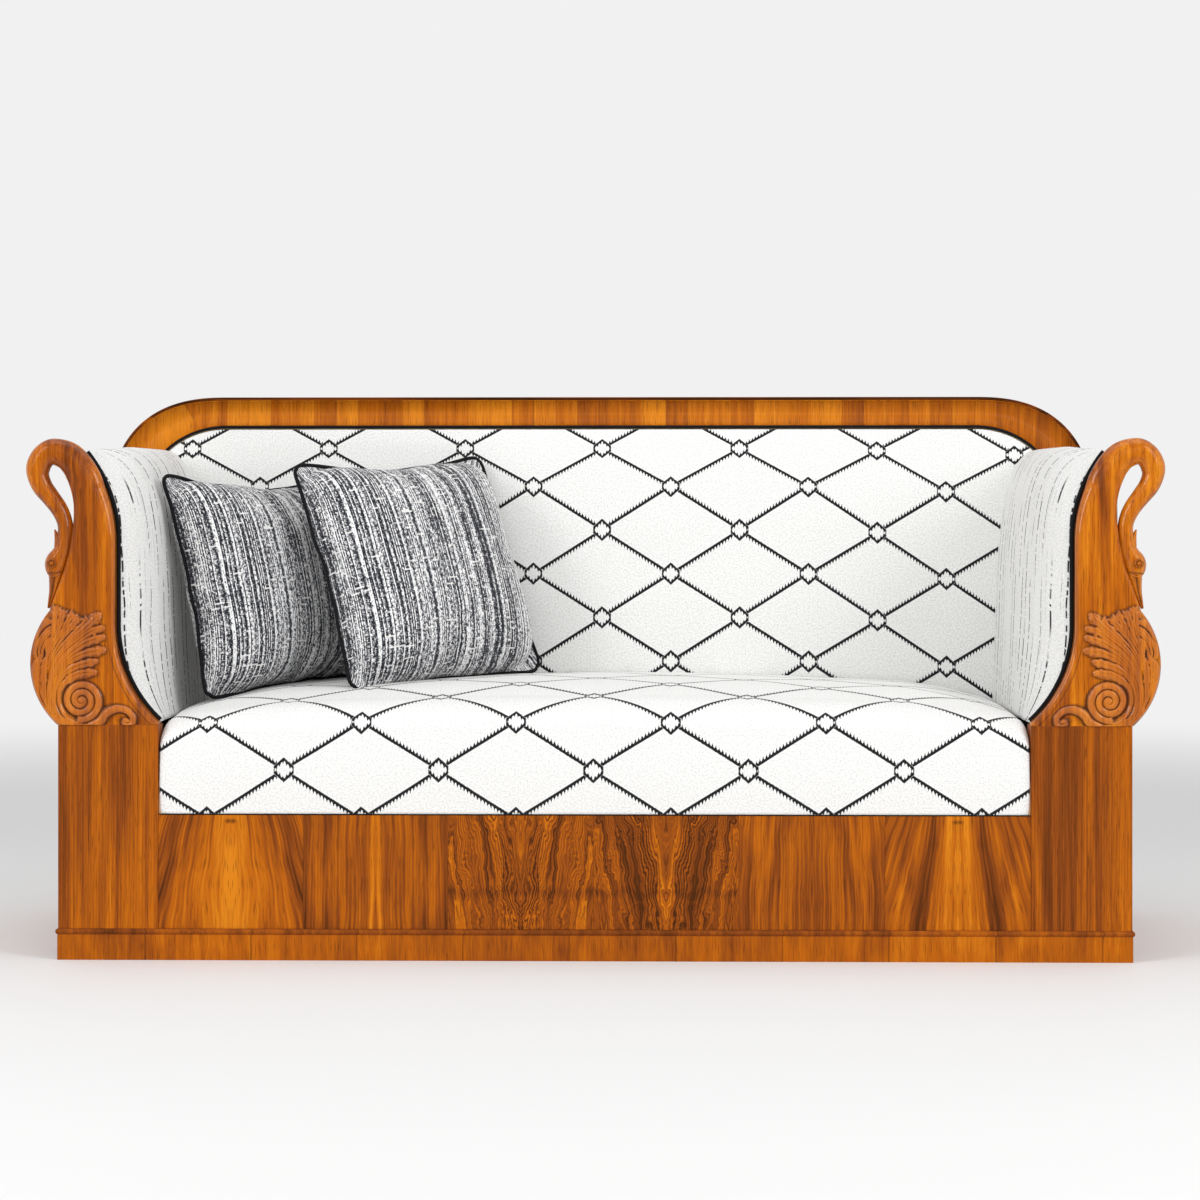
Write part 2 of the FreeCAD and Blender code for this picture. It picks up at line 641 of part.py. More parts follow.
def swan_board():
    hole_top = swan_point(3, 463)
    hole_foot = swan_point(-25, 361)
    cheek = swan_point(-10, 281)
    breast_top = swan_point(16, 205)
    breast_foot = swan_point(3, 0)
    edges = arm_line(WAIST, ARM_FOOT, ARM_HEAD)
    edges += [Part.Arc(ARM_HEAD, swan_point(-8, 489), hole_top),
              Part.Arc(hole_top, swan_point(-22, 417), hole_foot),
              Part.Arc(hole_foot, swan_point(-21, 318), cheek),
              Part.Arc(cheek, swan_point(-2, 238), breast_top),
              Part.Arc(breast_top, swan_point(51, 99), breast_foot),
              Part.LineSegment(breast_foot, V(POST_INNER, 0, POST_TOP)),
              Part.LineSegment(V(POST_INNER, 0, POST_TOP), ARM_FOOT)]
    return plate(edges, FRONT, size("front_thickness"))


# Neck stations from the board round the loop to the tip of the beak:
# outwards, upwards, width across the neck and thickness from front to back
NECK = ((-45, 442, 56, 30), (-17, 481, 52, 34), (14, 489.5, 47, 38), (40, 461, 42, 38),
        (33, 429, 33, 34), (15, 406, 28, 30), (-4, 377, 27, 28), (-10, 351, 27, 28),
        (-7, 318, 29, 30), (6, 293, 40, 34), (9, 268, 25, 26), (12, 247, 18, 16), (20, 211, 6, 6))
RING = 8
NECK_RINGS = 40


def swan_neck():
    """A loft through oval sections set square to the neck's own line."""
    middle = FRONT + size("front_thickness") / 2
    stations = [swan_point(out, up) for out, up, wide, thick in NECK]
    run = [0.0]
    for before, after in zip(stations, stations[1:]):
        run.append(run[-1] + before.distanceToPoint(after))
    line = Part.BSplineCurve()
    line.interpolate(Points=stations, Parameters=run)
    girth = Part.BSplineCurve()
    girth.interpolate(Points=[V(row[2], row[3], along) for row, along in zip(NECK, run)], Parameters=run)
    rings = []
    for number in range(NECK_RINGS + 1):
        place_on_line = run[-1] * number / NECK_RINGS
        station = line.value(place_on_line)
        oval = girth.value(place_on_line)
        across = line.tangent(place_on_line)[0].cross(V(0, 1, 0)).normalize()
        points = []
        for step in range(RING):
            angle = 2 * math.pi * step / RING
            points.append(station + across * (oval.x / 2 * math.cos(angle))
                          + V(0, middle + oval.y / 2 * math.sin(angle), 0))
        ring = Part.BSplineCurve()
        ring.interpolate(points, True)
        rings.append(Part.Wire([ring.toShape()]))
    return Part.makeLoft(rings, True, True)


VOLUTE_TURNS = 5
VOLUTE_BAND = 1.25


def swan_volute():
    """The breast scroll: a flat band wound in half turns that each shrink by one step."""
    centre = swan_point(-42, 44)
    radius = size("volute_radius")
    step = radius / (VOLUTE_TURNS + 1.6)
    sides = []
    for start in (radius, radius - step * VOLUTE_BAND):
        point = centre + V(start, 0, 0)
        heading = 1
        reach = start
        arcs = []
        for turn in range(VOLUTE_TURNS):
            following = reach - step / 2
            end = V(point.x - heading * (reach + following), 0, centre.z)
            bulge = V((point.x + end.x) / 2, 0, centre.z + heading * (reach + following) / 2)
            arcs.append(Part.Arc(point, bulge, end))
            point = end
            heading = -heading
            reach = following - step / 2
        sides.append(arcs)
    outer, inner = sides
    closing = [Part.LineSegment(outer[-1].EndPoint, inner[-1].EndPoint),
               Part.LineSegment(inner[0].StartPoint, outer[0].StartPoint)]
    edges = [edge.toShape() for edge in outer + closing + inner]
    wire = Part.Wire(Part.__sortEdges__(edges))
    relief = size("volute_relief")
    wire.translate(V(0, FRONT - relief, 0))
    return Part.Face(wire).extrude(V(0, 2 * relief, 0))


swan = swan_board().fuse([swan_neck(), swan_volute()]).removeSplitter()
solid_piece("right_swan_front", swan)
solid_piece("left_swan_front", mirrored(swan))


# Arms: rails from the swan front to the back post, hessian, pads, outer panels and piping

ARM_LONG = "base_depth - front_thickness - back_frame_depth"
ARM_START = "-base_depth / 2 + front_thickness"
RAIL_INNER = "base_width / 2 - arm_rail_inset - arm_rail_width"
RAIL_OUTER = "base_width / 2 - arm_rail_inset"
TOP_RAIL = "arm_top - arm_rail_drop - arm_rail_height"
for side, rail_x, sheet_x, panel_x in (
        ("left", "-(%s)" % RAIL_OUTER, "-(%s)" % RAIL_INNER, "-(%s) - arm_panel_thickness" % RAIL_OUTER),
        ("right", RAIL_INNER, RAIL_INNER + " - hessian_thickness", RAIL_OUTER)):
    for level, foot in (("top", TOP_RAIL), ("bottom", "plinth_height + post_height")):
        drilled("%s_arm_%s_rail" % (side, level),
                board("%s_%s_blank" % (side, level), (rail_x, ARM_START, foot),
                      ("arm_rail_width", ARM_LONG, "arm_rail_height")))
    keep(board(side + "_arm_sheet", (sheet_x, ARM_START, "plinth_height + post_height"),
               ("hessian_thickness", ARM_LONG + " - strap_thickness - hessian_thickness - pad_layer",
                "arm_top - arm_rail_drop - plinth_height - post_height")), side + "_arm_hessian")
    keep(board(side + "_panel", (panel_x, ARM_START, "plinth_height + post_height"),
               ("arm_panel_thickness", ARM_LONG,
                "arm_top - arm_rail_drop - plinth_height - post_height")), side + "_outer_arm_panel")

# Stations of the arm pad: how far back, and the share of its full swell into the seat
ARM_STATIONS = ((0, -0.15), (0.03, 0.2), (0.11, 0.65), (0.38, 0.85), (0.7, 0.95), (1, 1))


def arm_section(deep, swell):
    """One section of the arm pad: the S, a roll over the top rail, and the flat outer side."""
    clear = size("soft_clearance")
    foot = ARM_FOOT + V(clear, 0, 0)
    head = ARM_HEAD - V(0, 0, size("front_lip"))
    edges = arm_line(WAIST - swell, foot, head)
    outer = ARM_RAIL_OUTER + size("arm_panel_thickness")
    fall = V(outer, 0, head.z - size("arm_rail_drop") / 4)
    shoulder = ARM_RAIL_TOP + clear
    inner = ARM_RAIL_INNER - size("hessian_thickness") - clear
    corners = [fall, V(outer, 0, shoulder), V(inner, 0, shoulder), V(inner, 0, foot.z), foot]
    crown = V((head.x + outer) / 2 + clear, 0, head.z + clear)
    edges.append(Part.Arc(head, crown, fall))
    edges += [Part.LineSegment(start, end) for start, end in zip(corners, corners[1:])]
    wire = Part.Wire([edge.toShape() for edge in edges])
    wire.translate(V(0, deep, 0))
    return wire


arm_run = ARM_BACK - FRONT_BOARD_BACK - size("soft_clearance")
sections = [arm_section(FRONT_BOARD_BACK + size("soft_clearance") + share * arm_run,
                        swell * size("arm_swell")) for share, swell in ARM_STATIONS]
arm_pad = Part.makeLoft(sections, True, False)
solid_piece("right_arm_upholstery", arm_pad)
solid_piece("left_arm_upholstery", mirrored(arm_pad))


def piping_tube(edges, radius, deep):
    """A round cord along joined edges of the XZ plane."""
    path = Part.Wire([edge.toShape() for edge in edges])
    path.translate(V(0, deep, 0))
    start = path.Edges[0]
    ring = Part.Circle(start.valueAt(start.FirstParameter), start.tangentAt(start.FirstParameter), radius)
    return path.makePipeShell([Part.Wire([ring.toShape()])], True, True)


cord = size("piping_radius")
cord_gap = cord + size("soft_clearance")
cord_deep = FRONT_BOARD_BACK - cord
arm_cord = piping_tube(arm_line(WAIST - cord_gap, ARM_FOOT + V(3 * cord_gap, 0, 5 * cord_gap),
                                ARM_HEAD + V(-cord_gap, 0, cord_gap / 2)), cord, cord_deep)
solid_piece("right_arm_piping", arm_cord)
solid_piece("left_arm_piping", mirrored(arm_cord))


# Back pad: a flat layer over the frame, and a crowned front between the arms and under the crest

def back_section(level, front, crown):
    """One level of the crowned body: flat behind, a shallow arc in front."""
    corners = [V(-HALF, front, level), V(-HALF, PAD_FLAT, level), V(HALF, PAD_FLAT, level),
               V(HALF, front, level)]
    edges = [Part.LineSegment(start, end) for start, end in zip(corners, corners[1:])]
    edges.append(Part.Arc(corners[3], V(0, front - crown, level), corners[0]))
    return Part.Wire([edge.toShape() for edge in edges])


def between_arms():
    """The outline that the arms and the crest leave free at the back."""
    clear = 4 * size("soft_clearance")
    line = arm_line(WAIST - size("arm_swell") - clear, ARM_FOOT - V(clear, 0, 0),
                    V(ARM_HEAD.x, 0, ARM_HEAD.z - size("front_lip") + clear))
    head = line[-1].EndPoint
    foot = line[0].StartPoint
    high = size("crest_top")
    low = size("back_pad_bottom")
    right = [edge.toShape() for edge in line]
    left = [mirrored(edge) for edge in right]
    frame = [Part.LineSegment(head, V(head.x, 0, high)),
             Part.LineSegment(V(head.x, 0, high), V(-head.x, 0, high)),
             Part.LineSegment(V(-head.x, 0, high), V(-head.x, 0, head.z)),
             Part.LineSegment(V(-foot.x, 0, foot.z), V(-foot.x, 0, low)),
             Part.LineSegment(V(-foot.x, 0, low), V(foot.x, 0, low)),
             Part.LineSegment(V(foot.x, 0, low), foot)]
    wire = Part.Wire(Part.__sortEdges__(right + left + [edge.toShape() for edge in frame]))
    return Part.Face(wire).extrude(V(0, 2 * BACK, 0))


BACK_FACE = SEAT_BACK + size("back_crown") + 4 * size("soft_clearance")
# Levels of the back pad: share of the height, share of the lean, share of the crown
BACK_LEVELS = ((0, 0, 0.6), (0.22, 0, 0.8), (0.45, 0.12, 1), (0.7, 0.35, 1), (0.88, 0.65, 0.8), (1, 1, 0.2))
lift = OPENING_TOP - size("back_pad_bottom")
back_lean = PAD_FLAT - BACK_FACE - 4 * size("soft_clearance")
levels = [back_section(size("back_pad_bottom") + share * lift, BACK_FACE + lean * back_lean,
                       crown * size("back_crown")) for share, lean, crown in BACK_LEVELS]
crowned = Part.makeLoft(levels, True, False)
opening = plate(opening_edges(2 * cord_gap, size("back_pad_bottom")), FRONT, 2 * BACK)
crowned = crowned.common(between_arms()).common(opening)
layer = plate(opening_edges(size("soft_clearance"), size("back_pad_bottom")), PAD_FLAT, size("pad_layer"))
solid_piece("back_upholstery", crowned.fuse(layer).removeSplitter())

crest_line = opening_edges(cord_gap, size("back_post_top"))[2:5]
solid_piece("crest_piping", piping_tube(crest_line, cord, PAD_FLAT - cord_gap))


# Seat pad: domed from side to side, rolled over the front rail

def seat_section(x):
    """One section across the seat: front lip, roll, crowned top and flat underside."""
    share = 1 - (x / POST_INNER) ** 2
    front_top = size("seat_front_height") - size("seat_side_drop_front") * (1 - share)
    back_top = size("seat_back_height") - size("seat_side_drop_back") * (1 - share)
    roll = size("seat_roll")
    face = FRONT + size("apron_recess")
    lip = face + 2 * size("veneer_thickness") - size("soft_clearance")
    foot = APRON_TOP + size("soft_clearance")
    shoulder = V(x, face, front_top - roll)
    brow = V(x, face + roll, front_top)
    tail = V(x, SEAT_BACK, back_top)
    bevel = roll * (1 - math.sqrt(0.5))
    top = V(x, (brow.y + tail.y) / 2, (front_top + back_top) / 2 + size("seat_crown"))
    edges = [Part.LineSegment(V(x, face, foot), shoulder),
             Part.Arc(shoulder, V(x, face + bevel, front_top - bevel), brow),
             Part.Arc(brow, top, tail),
             Part.LineSegment(tail, V(x, SEAT_BACK, SEAT_BOTTOM)),
             Part.LineSegment(V(x, SEAT_BACK, SEAT_BOTTOM), V(x, lip, SEAT_BOTTOM)),
             Part.LineSegment(V(x, lip, SEAT_BOTTOM), V(x, lip, foot)),
             Part.LineSegment(V(x, lip, foot), V(x, face, foot))]
    return Part.Wire([edge.toShape() for edge in edges])


SEAT_STATIONS = (-1, -0.8, -0.4, 0, 0.4, 0.8, 1)
seat_half = POST_INNER - 2 * size("soft_clearance")
solid_piece("seat_upholstery", Part.makeLoft([seat_section(share * seat_half) for share in SEAT_STATIONS],
                                             True, False))


# Loose pillows: a knife-edged square whose sides draw in between the corners, with corded seams

def pillow_outline(half, draw, corner, level):
    """A square of eight arcs: four sides bowed by the draw and four rounded corners."""
    chord = half - corner
    slope = 2 * math.atan2(draw, chord)
    turn = math.pi / 4 + slope
    radius = corner * math.sqrt(0.5) / math.sin(turn)
    bulge = radius * (1 - math.cos(turn)) * math.sqrt(0.5)
    edges = []
    for quarter in range(4):
        spin = FreeCAD.Rotation(V(0, 1, 0), 90 * quarter)
        side = [V(-chord, 0, half), V(0, 0, half - draw), V(chord, 0, half)]
        bend = [V(chord, 0, half), V(half - corner / 2 + bulge, 0, half - corner / 2 + bulge),
                V(half, 0, chord)]
        for points in (side, bend):
            edges.append(Part.Arc(*[spin.multVec(point) + V(0, level, 0) for point in points]))
    return edges


# Levels of half a pillow, from its seam to its crown, as shares of its half size
PILLOW_LEVELS = (1, 0.97, 0.9, 0.78, 0.62, 0.4, 0.16)
PILLOW_RIM = 1.5
# How a half pillow swells: corners that widen towards the crown, and the fall from crown to seam
CORNER_GAIN = 0.7
CORNER_LIMIT = 0.8
CROWN_POWER = 2.4
SEAM_POWER = 0.75
DRAW_POWER = 6


def pillow_shape():
    half = size("pillow_size") / 2
    thick = size("pillow_thickness") / 2
    levels = []
    for grow in PILLOW_LEVELS:
        corner = min(size("pillow_corner") + CORNER_GAIN * half * (1 - grow), CORNER_LIMIT * grow * half)
        rise = max(thick * (1 - grow ** CROWN_POWER) ** SEAM_POWER, PILLOW_RIM)
        levels.append((rise, grow * half, size("pillow_draw") * grow ** DRAW_POWER, corner))
    stack = [(-rise, wide, draw, corner) for rise, wide, draw, corner in reversed(levels)] + levels
    wires = []
    for rise, wide, draw, corner in stack:
        edges = pillow_outline(wide, draw, corner, rise)
        wires.append(Part.Wire([edge.toShape() for edge in edges]))
    return Part.makeLoft(wires, True, True)


def pillow_cord():
    radius = size("pillow_piping_radius")
    edges = pillow_outline(size("pillow_size") / 2 + radius + size("soft_clearance"),
                           size("pillow_draw"), size("pillow_corner") + radius, 0)
    return piping_tube(edges, radius, 0)


# Where each pillow lies: its place in the row, how far it is turned to the right, leant back and
# tipped, and how it settles from the row's line
PILLOW_PLACES = {
    "rear_pillow": (0, 53.8, -11.6, -4.4, V(0, 1, -0.1)),
    "front_pillow": (1, 40.2, -21.3, -3.2, V(0, -2, 0.8)),
}
ROW_START = V(size("pillow_inset") - POST_INNER, SEAT_BACK - size("pillow_setback"),
              size("seat_back_height") + size("pillow_rise"))
for label, (number, turn, lean, tip, settle) in PILLOW_PLACES.items():
    middle = ROW_START + V(number * size("pillow_spacing"), 0, 0) + settle
    rotation = (FreeCAD.Rotation(V(0, 0, 1), turn) * FreeCAD.Rotation(V(1, 0, 0), lean)
                * FreeCAD.Rotation(V(0, 1, 0), tip))
    for name, shape in ((label, pillow_shape()), (label + "_piping", pillow_cord())):
        solid_piece(name, shape).Placement = FreeCAD.Placement(middle, rotation)


# Check every piece, then write it under its node's name

doc.recompute()
for obj in doc.Objects:
    if "Invalid" in obj.State or "Error" in obj.State:
        raise RuntimeError("%s did not build: %s" % (obj.Name, obj.State))
for piece in parts:
    if piece.Shape.isNull() or not piece.Shape.isValid():
        raise RuntimeError("%s has no sound shape" % piece.Label)
os.makedirs("parts", exist_ok=True)
for piece in parts:
    piece.Shape.exportStep("parts/%s.step" % piece.Label)
    print("%-24s %2d solids  %9.1f cm3" % (piece.Label, len(piece.Shape.Solids), piece.Shape.Volume / 1000))
print("%d pieces" % len(parts))
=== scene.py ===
# %% [markdown]
# # A Biedermeier sofa with swan arms
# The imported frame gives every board, rail and pad in its place. This lesson dresses it: polished
# walnut, carved swans, a white cloth with a black trellis, dashed cloth on the arms and two tweed
# pillows. Lengths are metres, +X is to the right of the picture, +Y to the back and +Z up.

# %% load the frame
import math
import bpy
import bmesh
import numpy as np
from mathutils import Euler, Matrix, Vector, noise


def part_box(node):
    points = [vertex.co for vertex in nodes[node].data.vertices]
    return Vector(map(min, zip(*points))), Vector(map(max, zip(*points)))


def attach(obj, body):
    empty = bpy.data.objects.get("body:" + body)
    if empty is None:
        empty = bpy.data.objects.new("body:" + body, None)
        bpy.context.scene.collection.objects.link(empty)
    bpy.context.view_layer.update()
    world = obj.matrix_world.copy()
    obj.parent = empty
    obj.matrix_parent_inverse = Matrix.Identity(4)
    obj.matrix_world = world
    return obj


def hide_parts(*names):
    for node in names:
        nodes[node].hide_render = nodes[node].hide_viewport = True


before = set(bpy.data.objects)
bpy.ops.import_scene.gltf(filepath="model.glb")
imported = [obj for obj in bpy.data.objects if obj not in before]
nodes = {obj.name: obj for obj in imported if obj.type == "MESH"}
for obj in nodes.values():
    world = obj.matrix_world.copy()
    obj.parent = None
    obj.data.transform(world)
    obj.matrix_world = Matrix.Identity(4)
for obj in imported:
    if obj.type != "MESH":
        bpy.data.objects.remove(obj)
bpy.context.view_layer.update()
scene = bpy.context.scene
SIDES = ((-1, "left"), (1, "right"))

# %% [markdown]
# ## Camera
# The photograph was taken from about five metres, a little above the seat, and its verticals are upright.
# A camera that is tilted down makes them lean, so this one stays level and its picture is shifted instead.

# %% camera
lens = bpy.data.cameras.new("studio_camera")
lens.sensor_width = 36.0
lens.lens = 84.0
lens.shift_y = -0.061
lens.clip_end = 60.0
camera = bpy.data.objects.new("studio_camera", lens)
camera.location = (0.108, -5.336, 0.776)
camera.rotation_euler = (math.radians(90), 0.0, 0.0192)
scene.collection.objects.link(camera)
scene.camera = camera
scene.view_settings.view_transform = "Standard"
print("camera at", [round(v, 3) for v in camera.location])

# %% [markdown]
# ## Shader helper
# Every finish is painted by rule from a point's own place: fibres and pores for timber, a lattice for the
# trellis cloth, broken lines for the arms and crossed yarns for the tweed. Pictures could be wrapped over the
# pieces instead, but a rule stays sharp from near and fits every size. The helper adds one node at a time.

# %% shader helper
def math_step(operation):
    """A method that adds one Math node and hands back its outlet."""
    return lambda self, *values: self.add("Math", dict(enumerate(values)), operation=operation)


class Finish:
    """A finish in the making: each method adds one node and hands back its outlet."""

    plus, minus, times, over = map(math_step, ("ADD", "SUBTRACT", "MULTIPLY", "DIVIDE"))
    size, floor, most, least = map(math_step, ("ABSOLUTE", "FLOOR", "MAXIMUM", "MINIMUM"))
    scaled, folded = map(math_step, ("MULTIPLY_ADD", "PINGPONG"))

    def __init__(self, holder):
        self.material = holder
        self.material.use_nodes = True
        self.tree = self.material.node_tree
        self.tree.nodes.clear()

    def add(self, kind, inlets=None, outlet=0, **settings):
        node = self.tree.nodes.new("ShaderNode" + kind)
        for key, value in settings.items():
            setattr(node, key, value)
        for key, value in (inlets or {}).items():
            if isinstance(value, bpy.types.NodeSocket):
                self.tree.links.new(value, node.inputs[key])
            else:
                node.inputs[key].default_value = value
        return node.outputs[outlet] if node.outputs else node

    def calc(self, operation, *values):
        return self.add("Math", dict(enumerate(values)), operation=operation)

    def point(self):
        return self.split(self.add("TexCoord", outlet="Object"))

    def cloth_point(self):
        return self.split(self.add("UVMap", uv_map="cloth"))

    def split(self, vector):
        node = self.tree.nodes.new("ShaderNodeSeparateXYZ")
        self.tree.links.new(vector, node.inputs[0])
        return node.outputs[0], node.outputs[1], node.outputs[2]

    def join(self, x, y, z=0.0):
        return self.add("CombineXYZ", {0: x, 1: y, 2: z})

    def grain(self, point, stretch, detail=2.0, twist=0.0, shift=(0, 0, 0)):
        """Noise drawn out along one direction, from 0 to 1."""
        moved = self.add("Mapping", {"Vector": self.join(*point), "Scale": stretch, "Location": shift})
        return self.add("TexNoise", {"Vector": moved, "Scale": 1.0, "Detail": detail, "Distortion": twist})

    def ramp(self, value, *stops):
        node = self.tree.nodes.new("ShaderNodeValToRGB")
        while len(node.color_ramp.elements) < len(stops):
            node.color_ramp.elements.new(0.5)
        for element, (place, tone) in zip(node.color_ramp.elements, stops):
            element.position = place
            element.color = (*tone, 1)
        self.tree.links.new(value, node.inputs[0])
        return node.outputs[0]

    def fade(self, value, start, end, low=0.0, high=1.0):
        return self.add("MapRange", {"Value": value, "From Min": start, "From Max": end,
                                     "To Min": low, "To Max": high}, clamp=True)

    def blend(self, share, first, second, mode="MIX"):
        tones = {0: share}
        for key, tone in ((6, first), (7, second)):
            tones[key] = tone if isinstance(tone, bpy.types.NodeSocket) else (*tone, 1)
        return self.add("Mix", tones, outlet=2, data_type="RGBA", blend_type=mode)

    def bump(self, height, distance, strength=1.0, soft_edge=None):
        inlets = {"Height": height, "Distance": distance, "Strength": strength}
        if soft_edge:
            inlets["Normal"] = self.add("Bevel", {"Radius": soft_edge}, samples=4)
        return self.add("Bump", inlets)

    def close(self, colour, normal, **values):
        inlets = {"Base Color": colour if isinstance(colour, bpy.types.NodeSocket) else (*colour, 1)}
        inlets["Normal"] = normal
        inlets.update({key.replace("_", " "): value for key, value in values.items()})
        shader = self.add("BsdfPrincipled", inlets)
        self.add("OutputMaterial", {"Surface": shader})
        return self.material


def new_finish(name):
    return Finish(bpy.data.materials.new(name))


def tell(*made):
    """Print how many nodes paint each finish."""
    for material in made:
        print("finish:", material.name, len(material.node_tree.nodes), "nodes")


print("shader helper: one method for each kind of node")

# %% [markdown]
# ## Room and light
# The sofa stands in a pale studio: a floor that takes its shadow, an even sky and four broad soft lamps.
# A wall would stand in the way of views from behind. So the floor is round and, far out, turns into the
# colour that the sky shows to the camera and to mirrors, and no side of the sofa has an edge behind it.

# %% floor
BACKDROP = 0.88  # what the camera and mirrors see far away; 1 is white
SKY = 0.62  # the even light of the sky on everything else
FLOOR_REACH, FLOOR_CORNERS = 14.0, 96
FADE_FROM, FADE_TO = 2.6, 6.5  # distances over which the paper turns into the backdrop


def new_object(name, vertices, faces):
    """A smooth mesh object at the origin from its points and faces."""
    mesh = bpy.data.meshes.new(name)
    mesh.from_pydata([tuple(v) for v in vertices], [], [tuple(f) for f in faces])
    mesh.validate()
    mesh.polygons.foreach_set("use_smooth", [True] * len(mesh.polygons))
    made = bpy.data.objects.new(name, mesh)
    scene.collection.objects.link(made)
    return made


def seen_rays(f):
    """1 on the rays that show the background: camera, mirror and glass rays."""
    camera_ray, mirror_ray, glass_ray = (f.add("LightPath", outlet=f"Is {kind} Ray")
                                         for kind in ("Camera", "Glossy", "Transmission"))
    return f.most(f.most(camera_ray, mirror_ray), glass_ray)


def floor_paper():
    f = new_finish("studio_paper")
    near = f.add("BsdfPrincipled", {"Base Color": (0.80, 0.80, 0.80, 1), "Roughness": 0.75,
                                    "Specular IOR Level": 0.15})
    far = f.add("Emission", {"Color": (1, 1, 1, 1), "Strength": BACKDROP})
    place = f.add("NewGeometry", outlet="Position")
    reach = f.add("VectorMath", {0: place}, outlet="Value", operation="LENGTH")
    away = f.add("MapRange", {"Value": reach, "From Min": FADE_FROM, "From Max": FADE_TO},
                 interpolation_type="SMOOTHSTEP")
    mixed = f.add("MixShader", {0: f.times(away, seen_rays(f)), 1: near, 2: far})
    f.add("OutputMaterial", {"Surface": mixed})
    return f.material


turns = [2 * math.pi * n / FLOOR_CORNERS for n in range(FLOOR_CORNERS)]
rim = [(FLOOR_REACH * math.cos(t), FLOOR_REACH * math.sin(t), 0.0) for t in turns]
floor = new_object("studio_floor", rim, [range(FLOOR_CORNERS)])
floor.data.materials.append(floor_paper())
print("floor:", 2 * FLOOR_REACH, "m wide")

# %% [markdown]
# Two tall windows left and right draw the highlights on the rounded wood, a wide fill in front keeps the
# shadows open and a lamp overhead lights the seat.

# %% lamps and sky
def lamp(name, place, target, size, power):
    """A soft rectangular lamp at a place, turned to a target."""
    light = bpy.data.lights.new(name, "AREA")
    light.shape = "RECTANGLE"
    light.size, light.size_y = size
    light.energy = power
    made = bpy.data.objects.new(name, light)
    made.location = place
    made.rotation_euler = (Vector(target) - Vector(place)).to_track_quat("-Z", "Y").to_euler()
    scene.collection.objects.link(made)


for side, word in SIDES:
    lamp(word + "_window", (side * 3.4, -3.4, 2.5), (0.0, 0.0, 0.5), (1.4, 2.4), 77)
lamp("front_fill", (0.3, -7.4, 2.6), (0.0, 0.0, 0.5), (5.0, 2.6), 95)
lamp("overhead", (0.0, -0.8, 4.2), (0.0, 0.0, 0.4), (4.2, 2.2), 30)
scene.world = bpy.data.worlds.new("studio_air")
air = Finish(scene.world)
strength = air.add("MapRange", {"Value": seen_rays(air), "To Min": SKY, "To Max": BACKDROP})
air.add("OutputWorld", {"Surface": air.add("Background", {"Color": (1, 1, 1, 1), "Strength": strength})})
print("light: four lamps and an even sky")

# %% [markdown]
# ## Walnut
# The show wood is polished walnut veneer. A plain brown with one noise looks like plastic, so the tone is put
# together as in the tree: broad figure, streaks, fine fibre, growth lines and short dark pores, all drawn out
# along the grain. The polish is thin and warm, and sharp edges are just rubbed off.

# %% timber and polish
DEEP, BROWN = (0.055, 0.013, 0.004), (0.22, 0.048, 0.007)
AMBER, HONEY = (0.43, 0.106, 0.005), (0.62, 0.195, 0.010)


def timber(f, across, along, through, warmth, figure, twist, shift=0.0, contour=0.03, depth=1.0, fine=0.11):
    """Tone and relief of a walnut surface from its distances across, along and through the grain.

    The figure is how often the grain changes in a metre across and along, depth how strongly it
    shows, fine the contrast of the fibres and contour that of the growth lines.
    """
    spot = (across, along, through)
    broad = f.grain(spot, (figure[0], figure[1], figure[0]), 3.0, twist, (shift, shift * 0.7, shift))
    streak = f.grain(spot, (figure[0] * 6, figure[1] * 1.6, figure[0] * 6), 2.0, 0.6, (shift, 3.1, 0))
    fibre = f.grain(spot, (240.0, 5.0, 240.0), 2.0)
    pore = f.grain(spot, (760.0, 26.0, 760.0), 1.0)
    lines = f.calc("SINE", f.scaled(across, 1250.0, f.times(broad, 26.0)))
    tone = f.fade(broad, 0.30, 0.70, 0.45 - 0.24 * depth, 0.45 + 0.24 * depth)
    tone = f.plus(tone, f.fade(streak, 0.32, 0.68, -0.17 * depth, 0.17 * depth))
    tone = f.plus(tone, f.fade(fibre, 0.30, 0.70, -fine, fine))
    tone = f.plus(f.scaled(lines, contour, tone), warmth)
    colour = f.ramp(tone, (0.10, DEEP), (0.34, BROWN), (0.56, AMBER), (0.8, HONEY))
    marks = f.fade(pore, 0.58, 0.68, 0.0, 0.5)
    return f.blend(marks, colour, DEEP), f.scaled(pore, -0.5, fibre)


def polish(f, colour, relief, **values):
    """Shellac over timber: a warm sheen under a thin clear coat, edges just rubbed off."""
    settings = {"Roughness": 0.36, "Specular_IOR_Level": 0.25, "Specular_Tint": (1.0, 0.5, 0.08, 1.0),
                "Coat_Weight": 0.04, "Coat_Roughness": 0.08}
    settings.update(values)
    return f.close(colour, f.bump(relief, 0.0002, 0.35, 0.0016), **settings)


print("walnut: four tones from", DEEP, "to", HONEY)

# %% [markdown]
# ### Posts, sides and dark edge
# Posts and base sides have upright grain. The moulding on the crest is stained dark and runs lengthwise. A
# single brown would do for it, but its fine fibre shows in the light from the windows.

# %% posts and dark edge
def upright_walnut():
    f = new_finish("walnut_upright")
    x, y, z = f.point()
    colour, relief = timber(f, x, z, y, -0.01, (13.0, 0.9), 1.0, depth=0.65, fine=0.07)
    return polish(f, colour, relief)


def dark_walnut():
    f = new_finish("walnut_dark_edge")
    x, y, z = f.point()
    colour, relief = timber(f, y, x, z, -0.27, (14.0, 1.0), 1.0)
    return polish(f, colour, relief)


WALNUT, DARK_EDGE = upright_walnut(), dark_walnut()
tell(WALNUT, DARK_EDGE)

